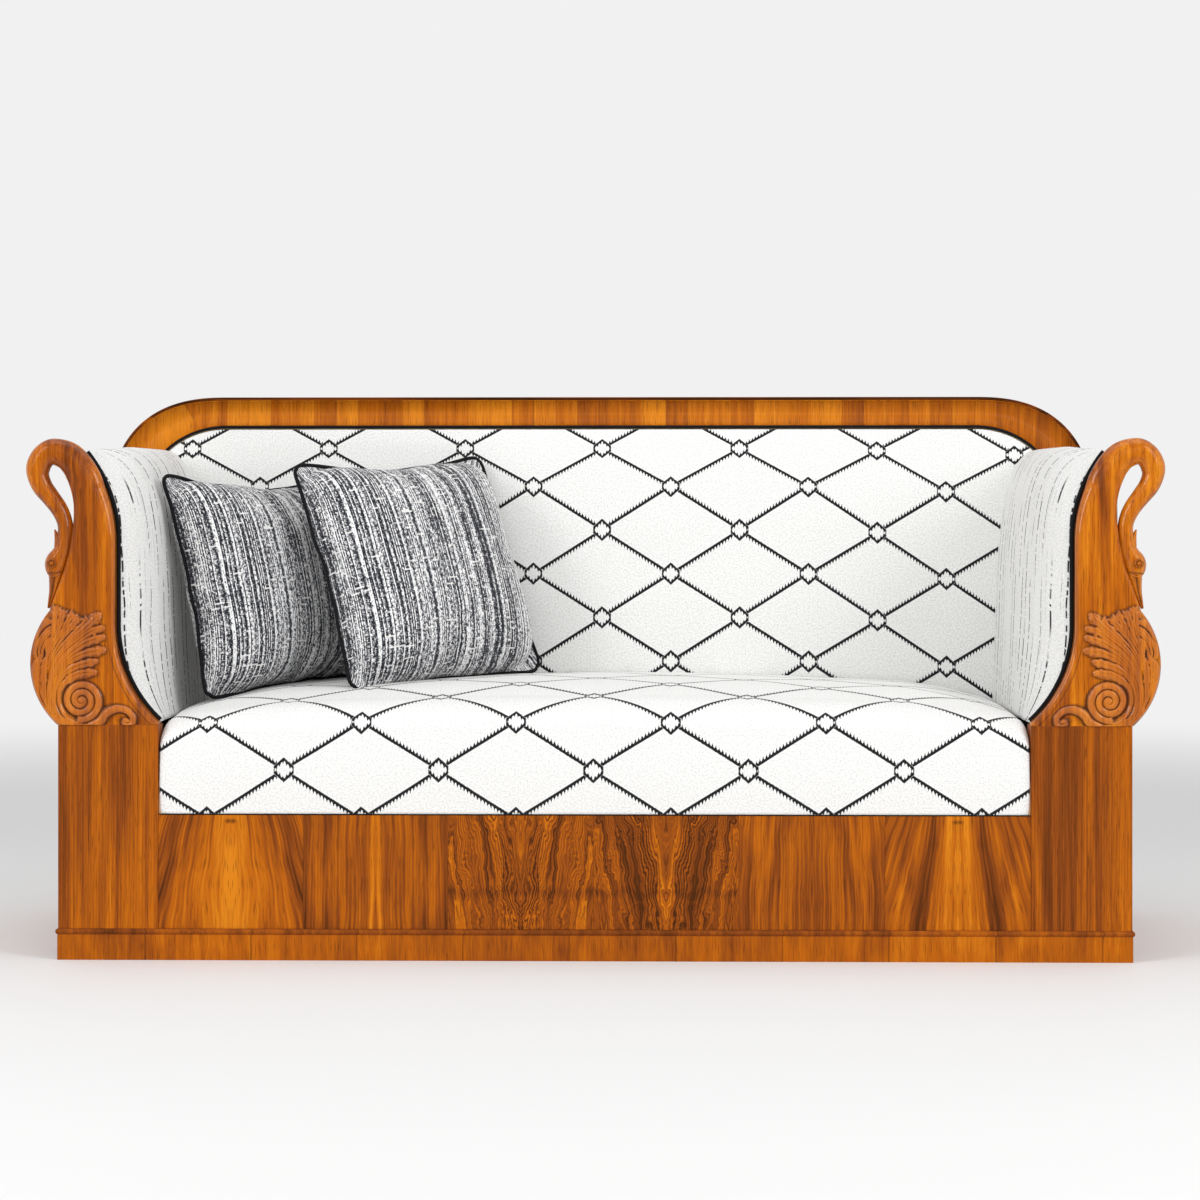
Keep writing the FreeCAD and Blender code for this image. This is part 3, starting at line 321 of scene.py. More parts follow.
# %% [markdown]
# ### Crest and plinth
# Both are banded: narrow leaves of veneer stand side by side, each from another part of the log. Leaves could
# be modelled one by one, but a leaf is only about a millimetre thick. Its number picks its tone, and a fine
# dark line marks the seam. One long leaf covers each rounded end of the crest.

# %% crest and plinth
CREST_LEAF, PLINTH_LEAF = 0.044, 0.190  # widths of the leaves
END_SEAM = 0.803  # place of the slanted seam of the crest's end leaf


def leaf_steps(f, run, wide):
    """Number of the veneer leaf and the distance to its nearest seam."""
    share = f.over(run, wide)
    number = f.floor(share)
    seam = f.times(f.folded(share, 0.5), wide)
    return number, seam


def chance(f, number, salt):
    """A settled random value for a numbered leaf."""
    return f.add("TexWhiteNoise", {"Vector": f.join(number, salt, 0.0)}, noise_dimensions="3D")


def crest_walnut():
    """Upright leaves side by side along the crest, and one long leaf at each rounded end."""
    f = new_finish("walnut_crest")
    x, y, z = f.point()
    away = f.size(x)
    slanted = f.scaled(z, -0.6, f.plus(away, 0.582))
    end_leaf = f.fade(slanted, END_SEAM - 0.0005, END_SEAM + 0.0005)
    number, seam = leaf_steps(f, x, CREST_LEAF)
    number = f.times(number, f.minus(1.0, end_leaf))
    luck = chance(f, number, 3.0)
    warmth = f.times(luck, 0.34)
    across = f.scaled(luck, 3.0, x)
    colour, relief = timber(f, across, z, y, warmth, (20.0, 2.0), 0.8, 4.0, 0.02, 0.45, 0.045)
    seam = f.most(seam, f.times(end_leaf, 0.01))
    seam = f.least(seam, f.size(f.minus(slanted, END_SEAM)))
    colour = f.blend(f.fade(seam, 0.0, 0.0010, 0.35, 0.0), colour, DEEP)
    return polish(f, colour, relief, Coat_Weight=0.1)


def plinth_walnut():
    """Short calm leaves along the plinth, each from another part of the log, under a darker bead."""
    f = new_finish("walnut_plinth")
    x, y, z = f.point()
    run = f.plus(x, y)
    number, seam = leaf_steps(f, run, PLINTH_LEAF)
    luck = chance(f, number, 7.0)
    warmth = f.scaled(luck, 0.14, -0.03)
    warmth = f.plus(warmth, f.fade(z, 0.0450, 0.0465, 0.0, -0.16))
    height = f.scaled(luck, 9.0, z)
    colour, relief = timber(f, run, height, y, warmth, (12.0, 5.0), 1.1, 9.0, 0.01, 0.4, 0.045)
    colour = f.blend(f.fade(seam, 0.0, 0.0016, 0.8, 0.0), colour, DEEP)
    return polish(f, colour, relief)


CREST, PLINTH = crest_walnut(), plinth_walnut()
tell(CREST, PLINTH)

# %% [markdown]
# ### Apron
# The apron shows the best veneer: six leaves, each mirrored about its middle. The two inner ones are crotch
# wood with flaming, crinkled grain, cut one after the other and so nearly alike. The next two are plain, and
# the outer two carry a bright stripe that widens downwards and a small knot near the top.

# %% apron
APRON_LEAF = 0.26
KNOT_LEVEL, BAND_LEVEL = 0.249, 0.123  # heights of the knot and of the dark band


def apron_walnut():
    """Six leaves, each mirrored about its middle; inner and outer are 1 on leaves of that kind."""
    f = new_finish("walnut_apron")
    x, y, z = f.point()
    share = f.over(x, APRON_LEAF)
    number = f.floor(share)
    side = f.times(f.size(f.minus(f.minus(share, number), 0.5)), APRON_LEAF)
    place = f.size(f.plus(number, 0.5))
    inner = f.calc("LESS_THAN", place, 1.0)
    outer = f.calc("GREATER_THAN", place, 2.0)
    luck = chance(f, number, 2.0)
    slice_of = f.times(number, f.scaled(inner, -0.985, 1.0))
    fan = f.over(side, f.fade(z, 0.06, 0.265, 1.55, 1.0))
    vee = f.scaled(z, -0.18, f.plus(side, 0.029))
    sway = f.grain((side, z, slice_of), (7.0, 5.0, 1.0), 2.0, 0.0, (5.0, 1.0, 2.0))
    burr = f.grain((side, z, slice_of), (30.0, 10.0, 8.0), 4.0, 1.1, (2.0, 8.0, 4.0))
    across = f.scaled(outer, f.minus(fan, side), side)
    across = f.scaled(inner, f.minus(vee, side), across)
    across = f.scaled(f.minus(sway, 0.5), 0.022, across)
    flame = f.times(f.minus(burr, 0.5), inner)
    across = f.scaled(flame, 0.045, across)
    stripe = f.times(f.fade(across, 0.020, 0.034, 1.0, 0.0), outer)
    column = f.size(f.minus(f.scaled(flame, 0.05, vee), 0.033))
    column = f.times(f.fade(column, 0.004, 0.020, 1.0, 0.0), inner)
    band = f.size(f.minus(f.scaled(flame, 0.05, z), BAND_LEVEL))
    band = f.times(f.fade(band, 0.0, 0.013, 1.0, 0.0), inner)
    warmth = f.scaled(outer, -0.07, f.scaled(luck, 0.10, -0.06))
    warmth = f.scaled(stripe, 0.34, f.scaled(inner, -0.06, warmth))
    warmth = f.scaled(column, -0.10, f.scaled(band, -0.10, warmth))
    contour = f.scaled(inner, 0.07, f.scaled(column, 0.09, 0.03))
    colour, relief = timber(f, across, z, slice_of, warmth, (15.0, 1.5), 1.2, 7.3, contour, 0.85, 0.10)
    low_side, low_z = f.minus(side, 0.004), f.times(f.minus(z, KNOT_LEVEL), 1.5)
    knot = f.calc("SQRT", f.plus(f.times(low_side, low_side), f.times(low_z, low_z)))
    knot = f.times(f.fade(f.scaled(burr, 0.010, knot), 0.006, 0.014, 0.85, 0.0), outer)
    colour = f.blend(knot, colour, DEEP)
    seam = f.minus(APRON_LEAF / 2, side)
    colour = f.blend(f.fade(seam, 0.0, 0.0011, 0.4, 0.0), colour, DEEP)
    return polish(f, colour, relief)


APRON = apron_walnut()
tell(APRON)

# %% [markdown]
# ### Carved wood
# The swans are solid walnut. Shade is painted dark into the cuts, and a highlight is painted paler onto the
# raised edges. The carving writes an attribute on its points: above 0 in a cut and below 0 on raised work.

# %% carved wood
# the painted highlight on raised work and the painted shade in the cuts
PAINTED_RIDGE_HIGHLIGHT, PAINTED_CUT_SHADE = (0.46, 0.150, 0.045), (0.040, 0.009, 0.003)


def carved_walnut():
    """The swans: upright grain, with painted shade in the cuts and a painted highlight on raised work."""
    f = new_finish("walnut_carved")
    x, y, z = f.point()
    colour, relief = timber(f, x, z, y, 0.10, (14.0, 1.1), 1.4, 6.0, 0.02, 0.85, 0.05)
    shade_and_highlight = f.add("Attribute", outlet="Fac", attribute_name="shade_and_highlight")
    # painted highlight: raised work made paler
    colour = f.blend(f.fade(shade_and_highlight, -0.5, 0.0, 0.40, 0.0), colour, PAINTED_RIDGE_HIGHLIGHT)
    # painted shade: cuts darkened nearly to black
    colour = f.blend(f.fade(shade_and_highlight, 0.0, 1.0, 0.0, 0.94), colour, PAINTED_CUT_SHADE)
    rough = f.fade(shade_and_highlight, 0.0, 1.0, 0.3, 0.6)
    facing = f.size(f.split(f.add("TexCoord", outlet="Normal"))[1])
    rubbed = f.fade(facing, 0.80, 0.985, 0.6, 0.06)
    return polish(f, colour, relief, Roughness=rough, Specular_IOR_Level=0.12, Coat_Weight=rubbed,
                  Coat_Roughness=0.06)


CARVED = carved_walnut()
tell(CARVED)

# %% [markdown]
# ### Frame timber
# Rails and boards that don't show from the front are bare pine and beech. Both need only a little figure and
# fibre, so one function paints them, with the grain along the axis that is asked for.

# %% pine and beech
def plain_timber(name, low, high, axis):
    """Unpolished timber of the frame, its grain along one axis."""
    f = new_finish(name)
    spot = f.point()
    spot = [spot[n] for n in ((axis + 1) % 3, axis, (axis + 2) % 3)]
    broad = f.grain(spot, (22.0, 1.2, 22.0), 3.0, 1.5)
    fibre = f.grain(spot, (300.0, 8.0, 300.0), 2.0)
    colour = f.ramp(f.scaled(fibre, 0.4, f.minus(broad, 0.2)), (0.25, low), (0.75, high))
    return f.close(colour, f.bump(fibre, 0.0004, 0.5), Roughness=0.72, Specular_IOR_Level=0.25)


PINE_LOW, PINE_HIGH = (0.46, 0.27, 0.11), (0.66, 0.45, 0.22)
BEECH_LOW, BEECH_HIGH = (0.42, 0.22, 0.11), (0.60, 0.36, 0.20)
PINE = {axis: plain_timber("pine_" + "xyz"[axis], PINE_LOW, PINE_HIGH, axis) for axis in range(3)}
BEECH = {axis: plain_timber("beech_" + "xyz"[axis], BEECH_LOW, BEECH_HIGH, axis) for axis in range(3)}
tell(*PINE.values(), *BEECH.values())

# %% [markdown]
# ## Cloth
# The white cloth carries a black trellis. Two families of slanting lines cross every 277 by 174 mm, each
# crossing is a small six-sided link, and every second cell has a row of teeth along its edge. One repeat
# could be painted and tiled. Here the distance to the nearest line decides, on a cloth map in metres, so the
# pattern has its true size on every pad.

# %% trellis cloth
REPEAT_WIDE, REPEAT_TALL = 0.277, 0.174
LINE_HALF, SOFT = 0.0028, 0.0005  # half a line's width, and half the width of its soft edge
TOOTH_STEP, TOOTH_LONG = 0.0030, 0.0068
LINK_SIDE, LINK_TIP = 0.018, 0.0225  # half the width and half the height of a link
INK = (0.012, 0.012, 0.014)
WOOL = (0.81, 0.81, 0.795)


def wool_tone(f, u, v):
    """Off-white yarn, a little uneven, and the relief of its loops."""
    loops = f.grain((u, v, 0.0), (310.0, 310.0, 1.0), 3.0)
    rows = f.grain((u, v, 0.0), (40.0, 700.0, 1.0), 1.0)
    relief = f.scaled(rows, 0.3, loops)
    shade = f.fade(loops, 0.32, 0.62, 0.80, 1.04)
    tone = f.blend(1.0, WOOL, f.add("CombineColor", {0: shade, 1: shade, 2: shade}), "MULTIPLY")
    return tone, relief


def woven(f, tone, relief, distance=0.0009):
    return f.close(tone, f.bump(relief, distance, 0.55), Roughness=0.92, Specular_IOR_Level=0.12,
                   Sheen_Weight=0.18, Sheen_Roughness=0.5)


def trellis_cloth():
    f = new_finish("trellis_cloth")
    u, v, _ = f.cloth_point()
    tone, relief = wool_tone(f, u, v)
    fuzz = f.grain((u, v, 0.0), (420.0, 420.0, 1.0), 2.0)
    u = f.scaled(f.minus(fuzz, 0.5), 0.0022, u)
    v = f.scaled(f.minus(fuzz, 0.5), 0.0020, v)
    a, b = f.over(u, REPEAT_WIDE), f.over(v, REPEAT_TALL)
    falling, rising = f.plus(a, b), f.minus(a, b)
    cell = f.plus(f.floor(falling), f.floor(rising))
    toothed = f.calc("FLOORED_MODULO", cell, 2.0)
    off_falling = f.minus(falling, f.calc("ROUND", falling))
    off_rising = f.minus(rising, f.calc("ROUND", rising))
    gap = f.times(f.least(f.size(off_falling), f.size(off_rising)), REPEAT_TALL)
    spike = f.calc("POWER", f.times(f.folded(u, TOOTH_STEP), 1 / TOOTH_STEP), 1.9)
    tooth = f.times(spike, TOOTH_LONG)
    reach = f.scaled(toothed, tooth, LINE_HALF)
    line = f.fade(f.minus(gap, reach), -SOFT, SOFT, 1.0, 0.0)
    link_u = f.size(f.times(f.plus(off_falling, off_rising), REPEAT_WIDE / 2))
    link_v = f.size(f.times(f.minus(off_falling, off_rising), REPEAT_TALL / 2))
    slant = f.times(f.scaled(link_u, 0.89, f.minus(link_v, LINK_TIP)), 0.747)
    flank = f.minus(link_u, LINK_SIDE)
    outside = f.fade(f.most(slant, flank), -SOFT, SOFT)
    band = f.fade(f.plus(slant, f.scaled(tooth, 0.6, 0.0044)), -SOFT, SOFT)
    flank_band = f.fade(f.plus(flank, 0.0018), -SOFT, SOFT)
    link = f.times(f.most(band, flank_band), f.minus(1.0, outside))
    drawn = f.most(f.times(line, outside), link)
    return woven(f, f.blend(drawn, tone, INK), relief)


TRELLIS = trellis_cloth()
tell(TRELLIS)

# %% [markdown]
# ### Dashed and plain cloth
# The arms wear the same yarn with broken upright lines: bold ones far apart and faint ones between. Each line
# has its own number, which picks its thickness and where its dashes begin. The outer sides have no pattern.

# %% dashed and plain cloth
BOLD_LINES = (0.034, 5.0, 0.030, 0.42, 1.0)  # spacing, seed, thickness, noise under which it breaks off, ink
FAINT_LINES = (0.013, 9.0, 0.0175, 0.52, 0.55)


def dashed_cloth():
    f = new_finish("dashed_cloth")
    u, v, _ = f.cloth_point()
    tone, relief = wool_tone(f, u, v)
    drift = f.grain((u, v, 0.0), (3.0, 7.0, 1.0), 1.0)
    drawn = None
    for spacing, salt, bold, kept, ink in (BOLD_LINES, FAINT_LINES):
        across = f.over(f.scaled(f.minus(drift, 0.5), 0.02, u), spacing)
        number = f.floor(across)
        luck = chance(f, number, salt)
        off = f.size(f.minus(f.minus(across, number), 0.5))
        along = f.scaled(luck, 7.0, v)
        dash = f.grain((number, along, 0.0), (3.7, 105.0, 1.0), 1.0)
        run = f.grain((number, along, 0.0), (5.3, 7.0, 1.0), 1.0)
        shown = f.times(f.fade(dash, 0.40, 0.46), f.fade(run, kept, kept + 0.08))
        thick = f.scaled(luck, 0.045, bold)
        line = f.times(f.fade(f.minus(off, thick), -0.012, 0.012, 1.0, 0.0), shown)
        line = f.times(line, ink)
        drawn = line if drawn is None else f.most(drawn, line)
    return woven(f, f.blend(drawn, tone, INK), relief)


def plain_cloth():
    f = new_finish("plain_cloth")
    x, y, z = f.point()
    tone, relief = wool_tone(f, f.plus(x, y), z)
    return woven(f, tone, relief)


DASHED, PLAIN = dashed_cloth(), plain_cloth()
tell(DASHED, PLAIN)

# %% [markdown]
# ### Tweed
# The pillows are woven of black and white yarns, each broken along its length, with short pale slubs across.
# Plain noise gives spots, not cloth, so every yarn has a number and its own row of light and dark lengths.

# %% tweed
YARN, ROW = 0.0023, 0.0030  # width of a yarn and of a slub


def tweed():
    """Black and white yarns side by side, each broken along its length, with pale slubs across them."""
    f = new_finish("tweed")
    u, v, _ = f.cloth_point()
    wander = f.grain((u, v, 0.0), (40.0, 9.0, 1.0), 2.0)
    across = f.over(f.scaled(wander, 0.003, u), YARN)
    yarn = f.floor(across)
    luck = chance(f, yarn, 11.0)
    broken = f.grain((yarn, v, 0.0), (3.731, 150.0, 1.0), 2.0)
    fleck = f.grain((u, v, 0.0), (430.0, 430.0, 1.0), 2.0, 0.0, (3.0, 1.0, 0.0))
    patch = f.grain((u, v, 0.0), (38.0, 11.0, 1.0), 2.0, 0.0, (8.0, 2.0, 0.0))
    row = f.floor(f.over(v, ROW))
    slub = f.fade(f.grain((u, row, 0.0), (22.0, 3.77, 1.0), 1.0), 0.67, 0.70)
    mixed = f.scaled(broken, 0.62, f.scaled(fleck, 0.45, f.times(luck, 0.24)))
    mixed = f.scaled(patch, 0.16, mixed)
    tone = f.ramp(f.times(mixed, 0.597), (0.38, (0.012, 0.013, 0.018)), (0.421, (0.075, 0.077, 0.09)),
                  (0.456, (0.38, 0.38, 0.39)), (0.50, (0.82, 0.82, 0.82)))
    tone = f.blend(f.times(slub, 0.75), tone, (0.84, 0.84, 0.82))
    ridge = f.folded(across, 0.5)
    return woven(f, tone, f.scaled(ridge, 0.8, fleck), 0.0011)


TWEED = tweed()
tell(TWEED)

# %% [markdown]
# ### Cord, webbing and hessian
# The cord is nearly black, with a fine twill. Webbing and hessian are both jute in plain weave, one coarse
# and one fine, so one function makes the two.

# %% cord, webbing and hessian
def black_cord():
    f = new_finish("black_cord")
    x, y, z = f.point()
    twill = f.grain((x, y, z), (520.0, 520.0, 520.0), 1.0)
    return f.close((0.006, 0.006, 0.007), f.bump(twill, 0.0006, 0.5), Roughness=0.85, Specular_IOR_Level=0.15)


def coarse_cloth(name, tone, yarn):
    """Hessian and webbing: two families of plain yarns."""
    f = new_finish(name)
    x, y, z = f.point()
    run = f.plus(x, f.times(y, 0.37))
    rise = f.plus(z, y)
    warp = f.folded(run, yarn)
    weft = f.folded(rise, yarn)
    relief = f.over(f.most(warp, weft), yarn)
    uneven = f.grain((x, y, z), (90.0, 90.0, 90.0), 2.0)
    colour = f.ramp(f.scaled(relief, 0.4, f.times(uneven, 0.6)),
                    (0.2, [c * 0.45 for c in tone]), (0.8, tone))
    return f.close(colour, f.bump(relief, 0.0006, 0.6), Roughness=0.95, Specular_IOR_Level=0.1)


CORD = black_cord()
JUTE = coarse_cloth("jute_webbing", (0.42, 0.28, 0.14), 0.0022)
HESSIAN = coarse_cloth("hessian", (0.50, 0.37, 0.21), 0.0014)
tell(CORD, JUTE, HESSIAN)

# %% [markdown]
# ## Finishes on the frame
# Boards and rails come from the frame as they are, with sharp and true shapes. Nothing is modelled again:
# each takes the finish of its timber, with the grain along its length.

# %% dress the frame
DRESSING = {
    "plinth_front": PLINTH, "plinth_right": PLINTH, "plinth_back": PLINTH, "plinth_left": PLINTH,
    "left_front_post": WALNUT, "right_front_post": WALNUT, "left_back_post": WALNUT,
    "right_back_post": WALNUT, "left_base_side": WALNUT, "right_base_side": WALNUT,
    "base_back_board": PINE[0], "apron_board": PINE[0], "apron_veneer": APRON, "base_cross_rails": PINE[1],
    "corner_blocks": PINE[2], "seat_rail_front": BEECH[0], "seat_rail_back": BEECH[0],
    "seat_rail_left": BEECH[1], "seat_rail_right": BEECH[1], "frame_dowels": BEECH[2],
    "back_top_rail": BEECH[0], "back_lower_rail": BEECH[0], "back_stiles": BEECH[2],
    "left_arm_top_rail": BEECH[1], "right_arm_top_rail": BEECH[1], "left_arm_bottom_rail": BEECH[1],
    "right_arm_bottom_rail": BEECH[1],
}
for name, material in DRESSING.items():
    nodes[name].data.materials.clear()
    nodes[name].data.materials.append(material)
print("dressed", len(DRESSING), "frame pieces")


# %% [markdown]
# ## Upholstery
# Seat, back and arms are stuffed pads under tight cloth. A cloth simulation could draw them tight, but its
# pattern would drift. So each pad is lofted from the same sections as the frame's pad, much finer, and
# carries its own cloth map in metres. Two helpers come first: a smooth line and a little unevenness.

# %% smooth lines
def flow(points, count):
    """A smooth line through points of any dimension."""
    p = np.asarray(points, float)
    p = np.vstack([2 * p[0] - p[1], p, 2 * p[-1] - p[-2]])
    place = np.linspace(0, len(p) - 3, count)
    k = np.minimum(place.astype(int), len(p) - 4)
    t = (place - k)[:, None]
    a, b, c, d = p[k], p[k + 1], p[k + 2], p[k + 3]
    bend, twist = 2 * a - 5 * b + 4 * c - d, 3 * b - a - 3 * c + d
    return 0.5 * (2 * b + (c - a) * t + bend * t ** 2 + twist * t ** 3)


def soft_noise(x, y, z, scale, size):
    """Small unevenness of hand-stuffed work."""
    return size * noise.noise((x * scale, y * scale, z * scale))


print("a smooth line through three points:", flow([(0, 0), (1, 1), (2, 0)], 5).round(2).tolist())

# %% [markdown]
# A loft joins closed rings of points one to the next. Blender's own bridging would do it, but it makes no
# cloth map, so the faces are counted out here together with the map of every corner.

# %% loft helpers
def own_mesh(name, vertices, faces, uv, material):
    """A mesh with outward normals and, if it is asked for, a cloth map given per face corner."""
    made = new_object(name, vertices, faces)
    if uv is not None:
        layer = made.data.uv_layers.new(name="cloth")
        layer.data.foreach_set("uv", np.asarray(uv, np.float32).ravel())
    work = bmesh.new()
    work.from_mesh(made.data)
    bmesh.ops.recalc_face_normals(work, faces=work.faces)
    work.to_mesh(made.data)
    work.free()
    made.data.materials.append(material)
    return made


def ring_faces(many, count, looped=False):
    """Quads from each closed ring of points to the next, with a cap at both ends unless looped."""
    faces = []
    for i in range(many if looped else many - 1):
        a, b = i * count, (i + 1) % many * count
        faces += [(a + j, a + (j + 1) % count, b + (j + 1) % count, b + j) for j in range(count)]
    if not looped:
        faces += [list(range(count)), list(range((many - 1) * count, many * count))]
    return faces


def loft(name, rings, cloth, material):
    """Closed rings joined one to the next and capped; cloth holds a map point for every ring point
    and one more for the ring's closing seam."""
    many, count = len(rings), len(rings[0])
    vertices = [tuple(p) for ring in rings for p in ring]
    uv = []
    for this, after in zip(cloth, cloth[1:]):
        for j in range(count):
            uv += [this[j], this[j + 1], after[j + 1], after[j]]
    uv += cloth[0][:count] + cloth[-1][:count]
    return own_mesh(name, vertices, ring_faces(many, count), uv, material)


def run_length(points):
    """How far along the line each of its points lies."""
    steps = np.linalg.norm(np.diff(np.asarray(points), axis=0), axis=1)
    return np.concatenate([[0.0], np.cumsum(steps)])


def settle(piece, body, fill, slot, *replaced):
    """Attach a stuffed piece to what it rides on and hide the frame nodes it stands for. How full it is: not
    used.
    """
    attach(piece, body)
    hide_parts(*replaced)


print("loft helpers: two rings of four points give", len(ring_faces(2, 4)), "faces")

# %% [markdown]
# ### Seat
# The seat is domed from side to side, rolls over the front rail and sinks towards the arms. It is lofted
# from left to right, because its section over the front edge is what the eye follows. The trellis has a
# crossing on the middle line.

# %% seat
def seat_pad():
    rings, cloth = [], []
    half, face, tail, foot = 0.7785, -0.334, 0.224, 0.2605  # half width, front, rear and lower edge
    deep, rise, soft_end = 0.080, 0.058, 0.024  # depth and height of the front roll, rounding of the ends
    brow_level, inside, under = 0.412, -0.329, 0.328  # start of the roll, back of the front rail, hessian
    crossing = 0.080  # height of a crossing of the trellis over the lower edge
    crown = [(0.0, 0.0), (0.16, 0.0165), (0.34, 0.0225), (0.62, 0.0245), (1.0, 0.018)]
    ends = half - soft_end * (1 - np.cos(np.linspace(0, math.pi / 2, 9)))
    for x in np.concatenate([-ends, np.linspace(-ends[-1], ends[-1], 109)[1:-1], ends[::-1]]):
        fall = (x / 0.78) ** 2
        over = max(abs(x) - (half - soft_end), 0.0) / soft_end
        round_end = soft_end * (1 - math.sqrt(max(1 - over * over, 0.0)))
        sunk = min(max((abs(x) - 0.56) / 0.22, 0.0), 1.0) ** 2
        brow = brow_level - 0.014 * fall - 0.014 * sunk - 0.4 * round_end
        path = [(face, z) for z in np.linspace(foot, brow, 24)]
        top = rise - 0.008 * fall - 0.006 * sunk - 0.4 * round_end
        for step in range(1, 25):
            turn = math.radians(90) * step / 24
            path.append((face + deep * (1 - math.cos(turn)), brow + top * math.sin(turn)))
        start = path[-1]
        flat = 1 - 0.35 * fall - 0.45 * sunk
        line = flow([(start[0] + t * (tail - start[0]), start[1] + h * flat) for t, h in crown], 60)
        path += [tuple(p) for p in line[1:]]
        run = run_length(path)
        path += [(tail, 0.40), (tail, under), (0.0, under), (inside, under), (inside, foot)]
        ring, maps = [], []
        for n, (y, z) in enumerate(path):
            if n < len(run):
                bulge = soft_noise(x, y, z, 7.0, 0.0022) * min(1.0, run[n] / 0.05)
                y += 0.35 * round_end - 0.4 * bulge - (0.004 * math.sin(math.pi * n / 23) if n < 24 else 0.0)
                z += bulge
            ring.append((x, y, z))
            maps.append((x, (run[n] if n < len(run) else run[-1]) - crossing))
        rings.append(ring)
        cloth.append(maps + [maps[0]])
    return loft("seat_pad", rings, cloth, TRELLIS)


seat = seat_pad()
settle(seat, "sofa", 0.85, "trellis_cloth", "seat_upholstery")
print("seat pad:", len(seat.data.polygons), "faces")

# %% [markdown]
# ### Back
# The back fills the opening under the crest, whose upper corners are rounded. The frame's solid could be
# measured for it, but two short rules are easier to read: how wide the opening is at a level, and how far a
# point lies from its edge.

# %% opening of the back
CREST_FLAT, CREST_CENTRE = 0.75, 0.80  # end of the crest's straight stretch, and its shoulders' centre level
OPENING, OPENING_SIDE, OPENING_TOP = 0.178, 0.886, 0.978  # rounding, half width and top of the back's opening
BACK_FOOT, BACK_TALL = 0.33, 0.648
BACK_FACE, BACK_EDGE, BACK_REAR = 0.238, 0.2600, 0.2695  # distances of the face, its edge and the rear
SEAM = 0.0075  # how far the pad keeps from the edge of the opening


def opening_width(z, inset=SEAM):
    """Half the width of the back's opening under the crest at a level."""
    radius, side = OPENING - inset, OPENING_SIDE - inset
    rise = min(max(z - CREST_CENTRE, 0.0) / radius, 1.0)
    return min(side, CREST_FLAT + radius * math.sqrt(1 - rise * rise))


def edge_distance(x, z):
    """Distance to the edge of the opening."""
    away = abs(x) - CREST_FLAT
    if away <= 0:
        return OPENING_TOP - z
    if z > CREST_CENTRE:
        return OPENING - math.hypot(away, z - CREST_CENTRE)
    return OPENING_SIDE - abs(x)


print("opening of the back:", 2 * OPENING_SIDE, "m wide, top at", OPENING_TOP, "m")

# %% [markdown]
# The pad leans, swells a little in the middle and is drawn in to the cord under the crest. It is one grid
# whose rows are as wide as the opening at their level; a thin wall and a flat rear close it.

# %% back pad
def back_pad():
    radius = OPENING - SEAM
    start = math.acos((OPENING_SIDE - SEAM - CREST_FLAT) / radius)
    turns = [start + (math.pi / 2 - start) * n / 40 for n in range(1, 41)]
    levels = list(np.linspace(BACK_FOOT, CREST_CENTRE + radius * math.sin(start), 64))
    levels += [CREST_CENTRE + radius * math.sin(t) for t in turns]
    columns = 150
    shares = [0, 0.22, 0.45, 0.7, 0.88, 1]
    vertices, cloth = [], []
    for z in levels:
        rise = (z - BACK_FOOT) / BACK_TALL
        lean = 0.024 * np.interp(rise, shares, [0, 0, 0.12, 0.35, 0.65, 1])
        crown = 0.012 * np.interp(rise, shares, [0.6, 0.8, 1, 1, 0.8, 0.5])
        wide = opening_width(z)
        for t in np.linspace(-1, 1, columns + 1):
            x = t * wide
            y = BACK_FACE + lean - crown * (1 - (x / 0.96) ** 2) + soft_noise(x, z, 3.0, 6.0, 0.002)
            near = min(max((edge_distance(x, z) - 0.006) / 0.035, 0.0), 1.0)
            y += (BACK_EDGE - y) * (1 - math.sqrt(1 - (1 - near) ** 2))
            vertices.append((x, y, z))
            drawn_up = 0.012 * min(max((z - 0.858) / 0.075, 0.0), 1.6)
            sagging = 0.037 * max(x - 0.40, 0.0)
            cloth.append((0.408 + (x - 0.408) / 0.9874, z - 0.770 + drawn_up + sagging))
    wide, tall = columns + 1, len(levels)
    faces = [(i * wide + j, i * wide + j + 1, (i + 1) * wide + j + 1, (i + 1) * wide + j)
             for i in range(tall - 1) for j in range(columns)]
    rim = [j for j in range(wide)] + [i * wide + columns for i in range(1, tall)]
    rim += [(tall - 1) * wide + j for j in range(columns - 1, -1, -1)]
    rim += [i * wide for i in range(tall - 2, 0, -1)]
    first = len(vertices)
    for n in rim:
        vertices.append((vertices[n][0], BACK_REAR, vertices[n][2]))
        cloth.append(cloth[n])
    for n in range(len(rim)):
        after = (n + 1) % len(rim)
        faces.append((rim[n], rim[after], first + after, first + n))
    faces.append([first + n for n in range(len(rim))])
    uv = [cloth[n] for face in faces for n in face]
    return own_mesh("back_pad", vertices, faces, uv, TRELLIS)


back = back_pad()
settle(back, "sofa", 0.85, "trellis_cloth", "back_upholstery")
print("back pad:", len(back.data.polygons), "faces")

# %% [markdown]
# ### Arms
# Seen from the front, each arm follows one S from the seat up to its top rail: two arcs that meet an upright
# waist. A free curve could be drawn, but arcs that touch the waist give the swan, the pad and the cord the
# same line.

# %% line of the arm
WAIST, WAIST_LOW, WAIST_HIGH = 0.860, 0.601, 0.750
FOOT, HEAD = (0.780, 0.425), (0.928, 0.922)  # ends of the swan's S
PAD_FOOT, PAD_HEAD = (0.7805, 0.425), (0.928, 0.918)  # ends of the pad's S
ARM_FRONT, ARM_LONG, ARM_INSIDE = -0.2995, 0.563, 0.9015


def tangent_arc(end, level, upright, steps):
    """Points of the arc that leaves an upright line at a level and runs to the end."""
    across, along = end[0] - upright, end[1] - level
    radius = (across * across + along * along) / (2 * abs(across))
    side = math.copysign(1, across)
    last = math.asin(along / radius)
    turns = [last * n / steps for n in range(steps + 1)]
    return [(upright + side * radius * (1 - math.cos(t)), level + radius * math.sin(t)) for t in turns]


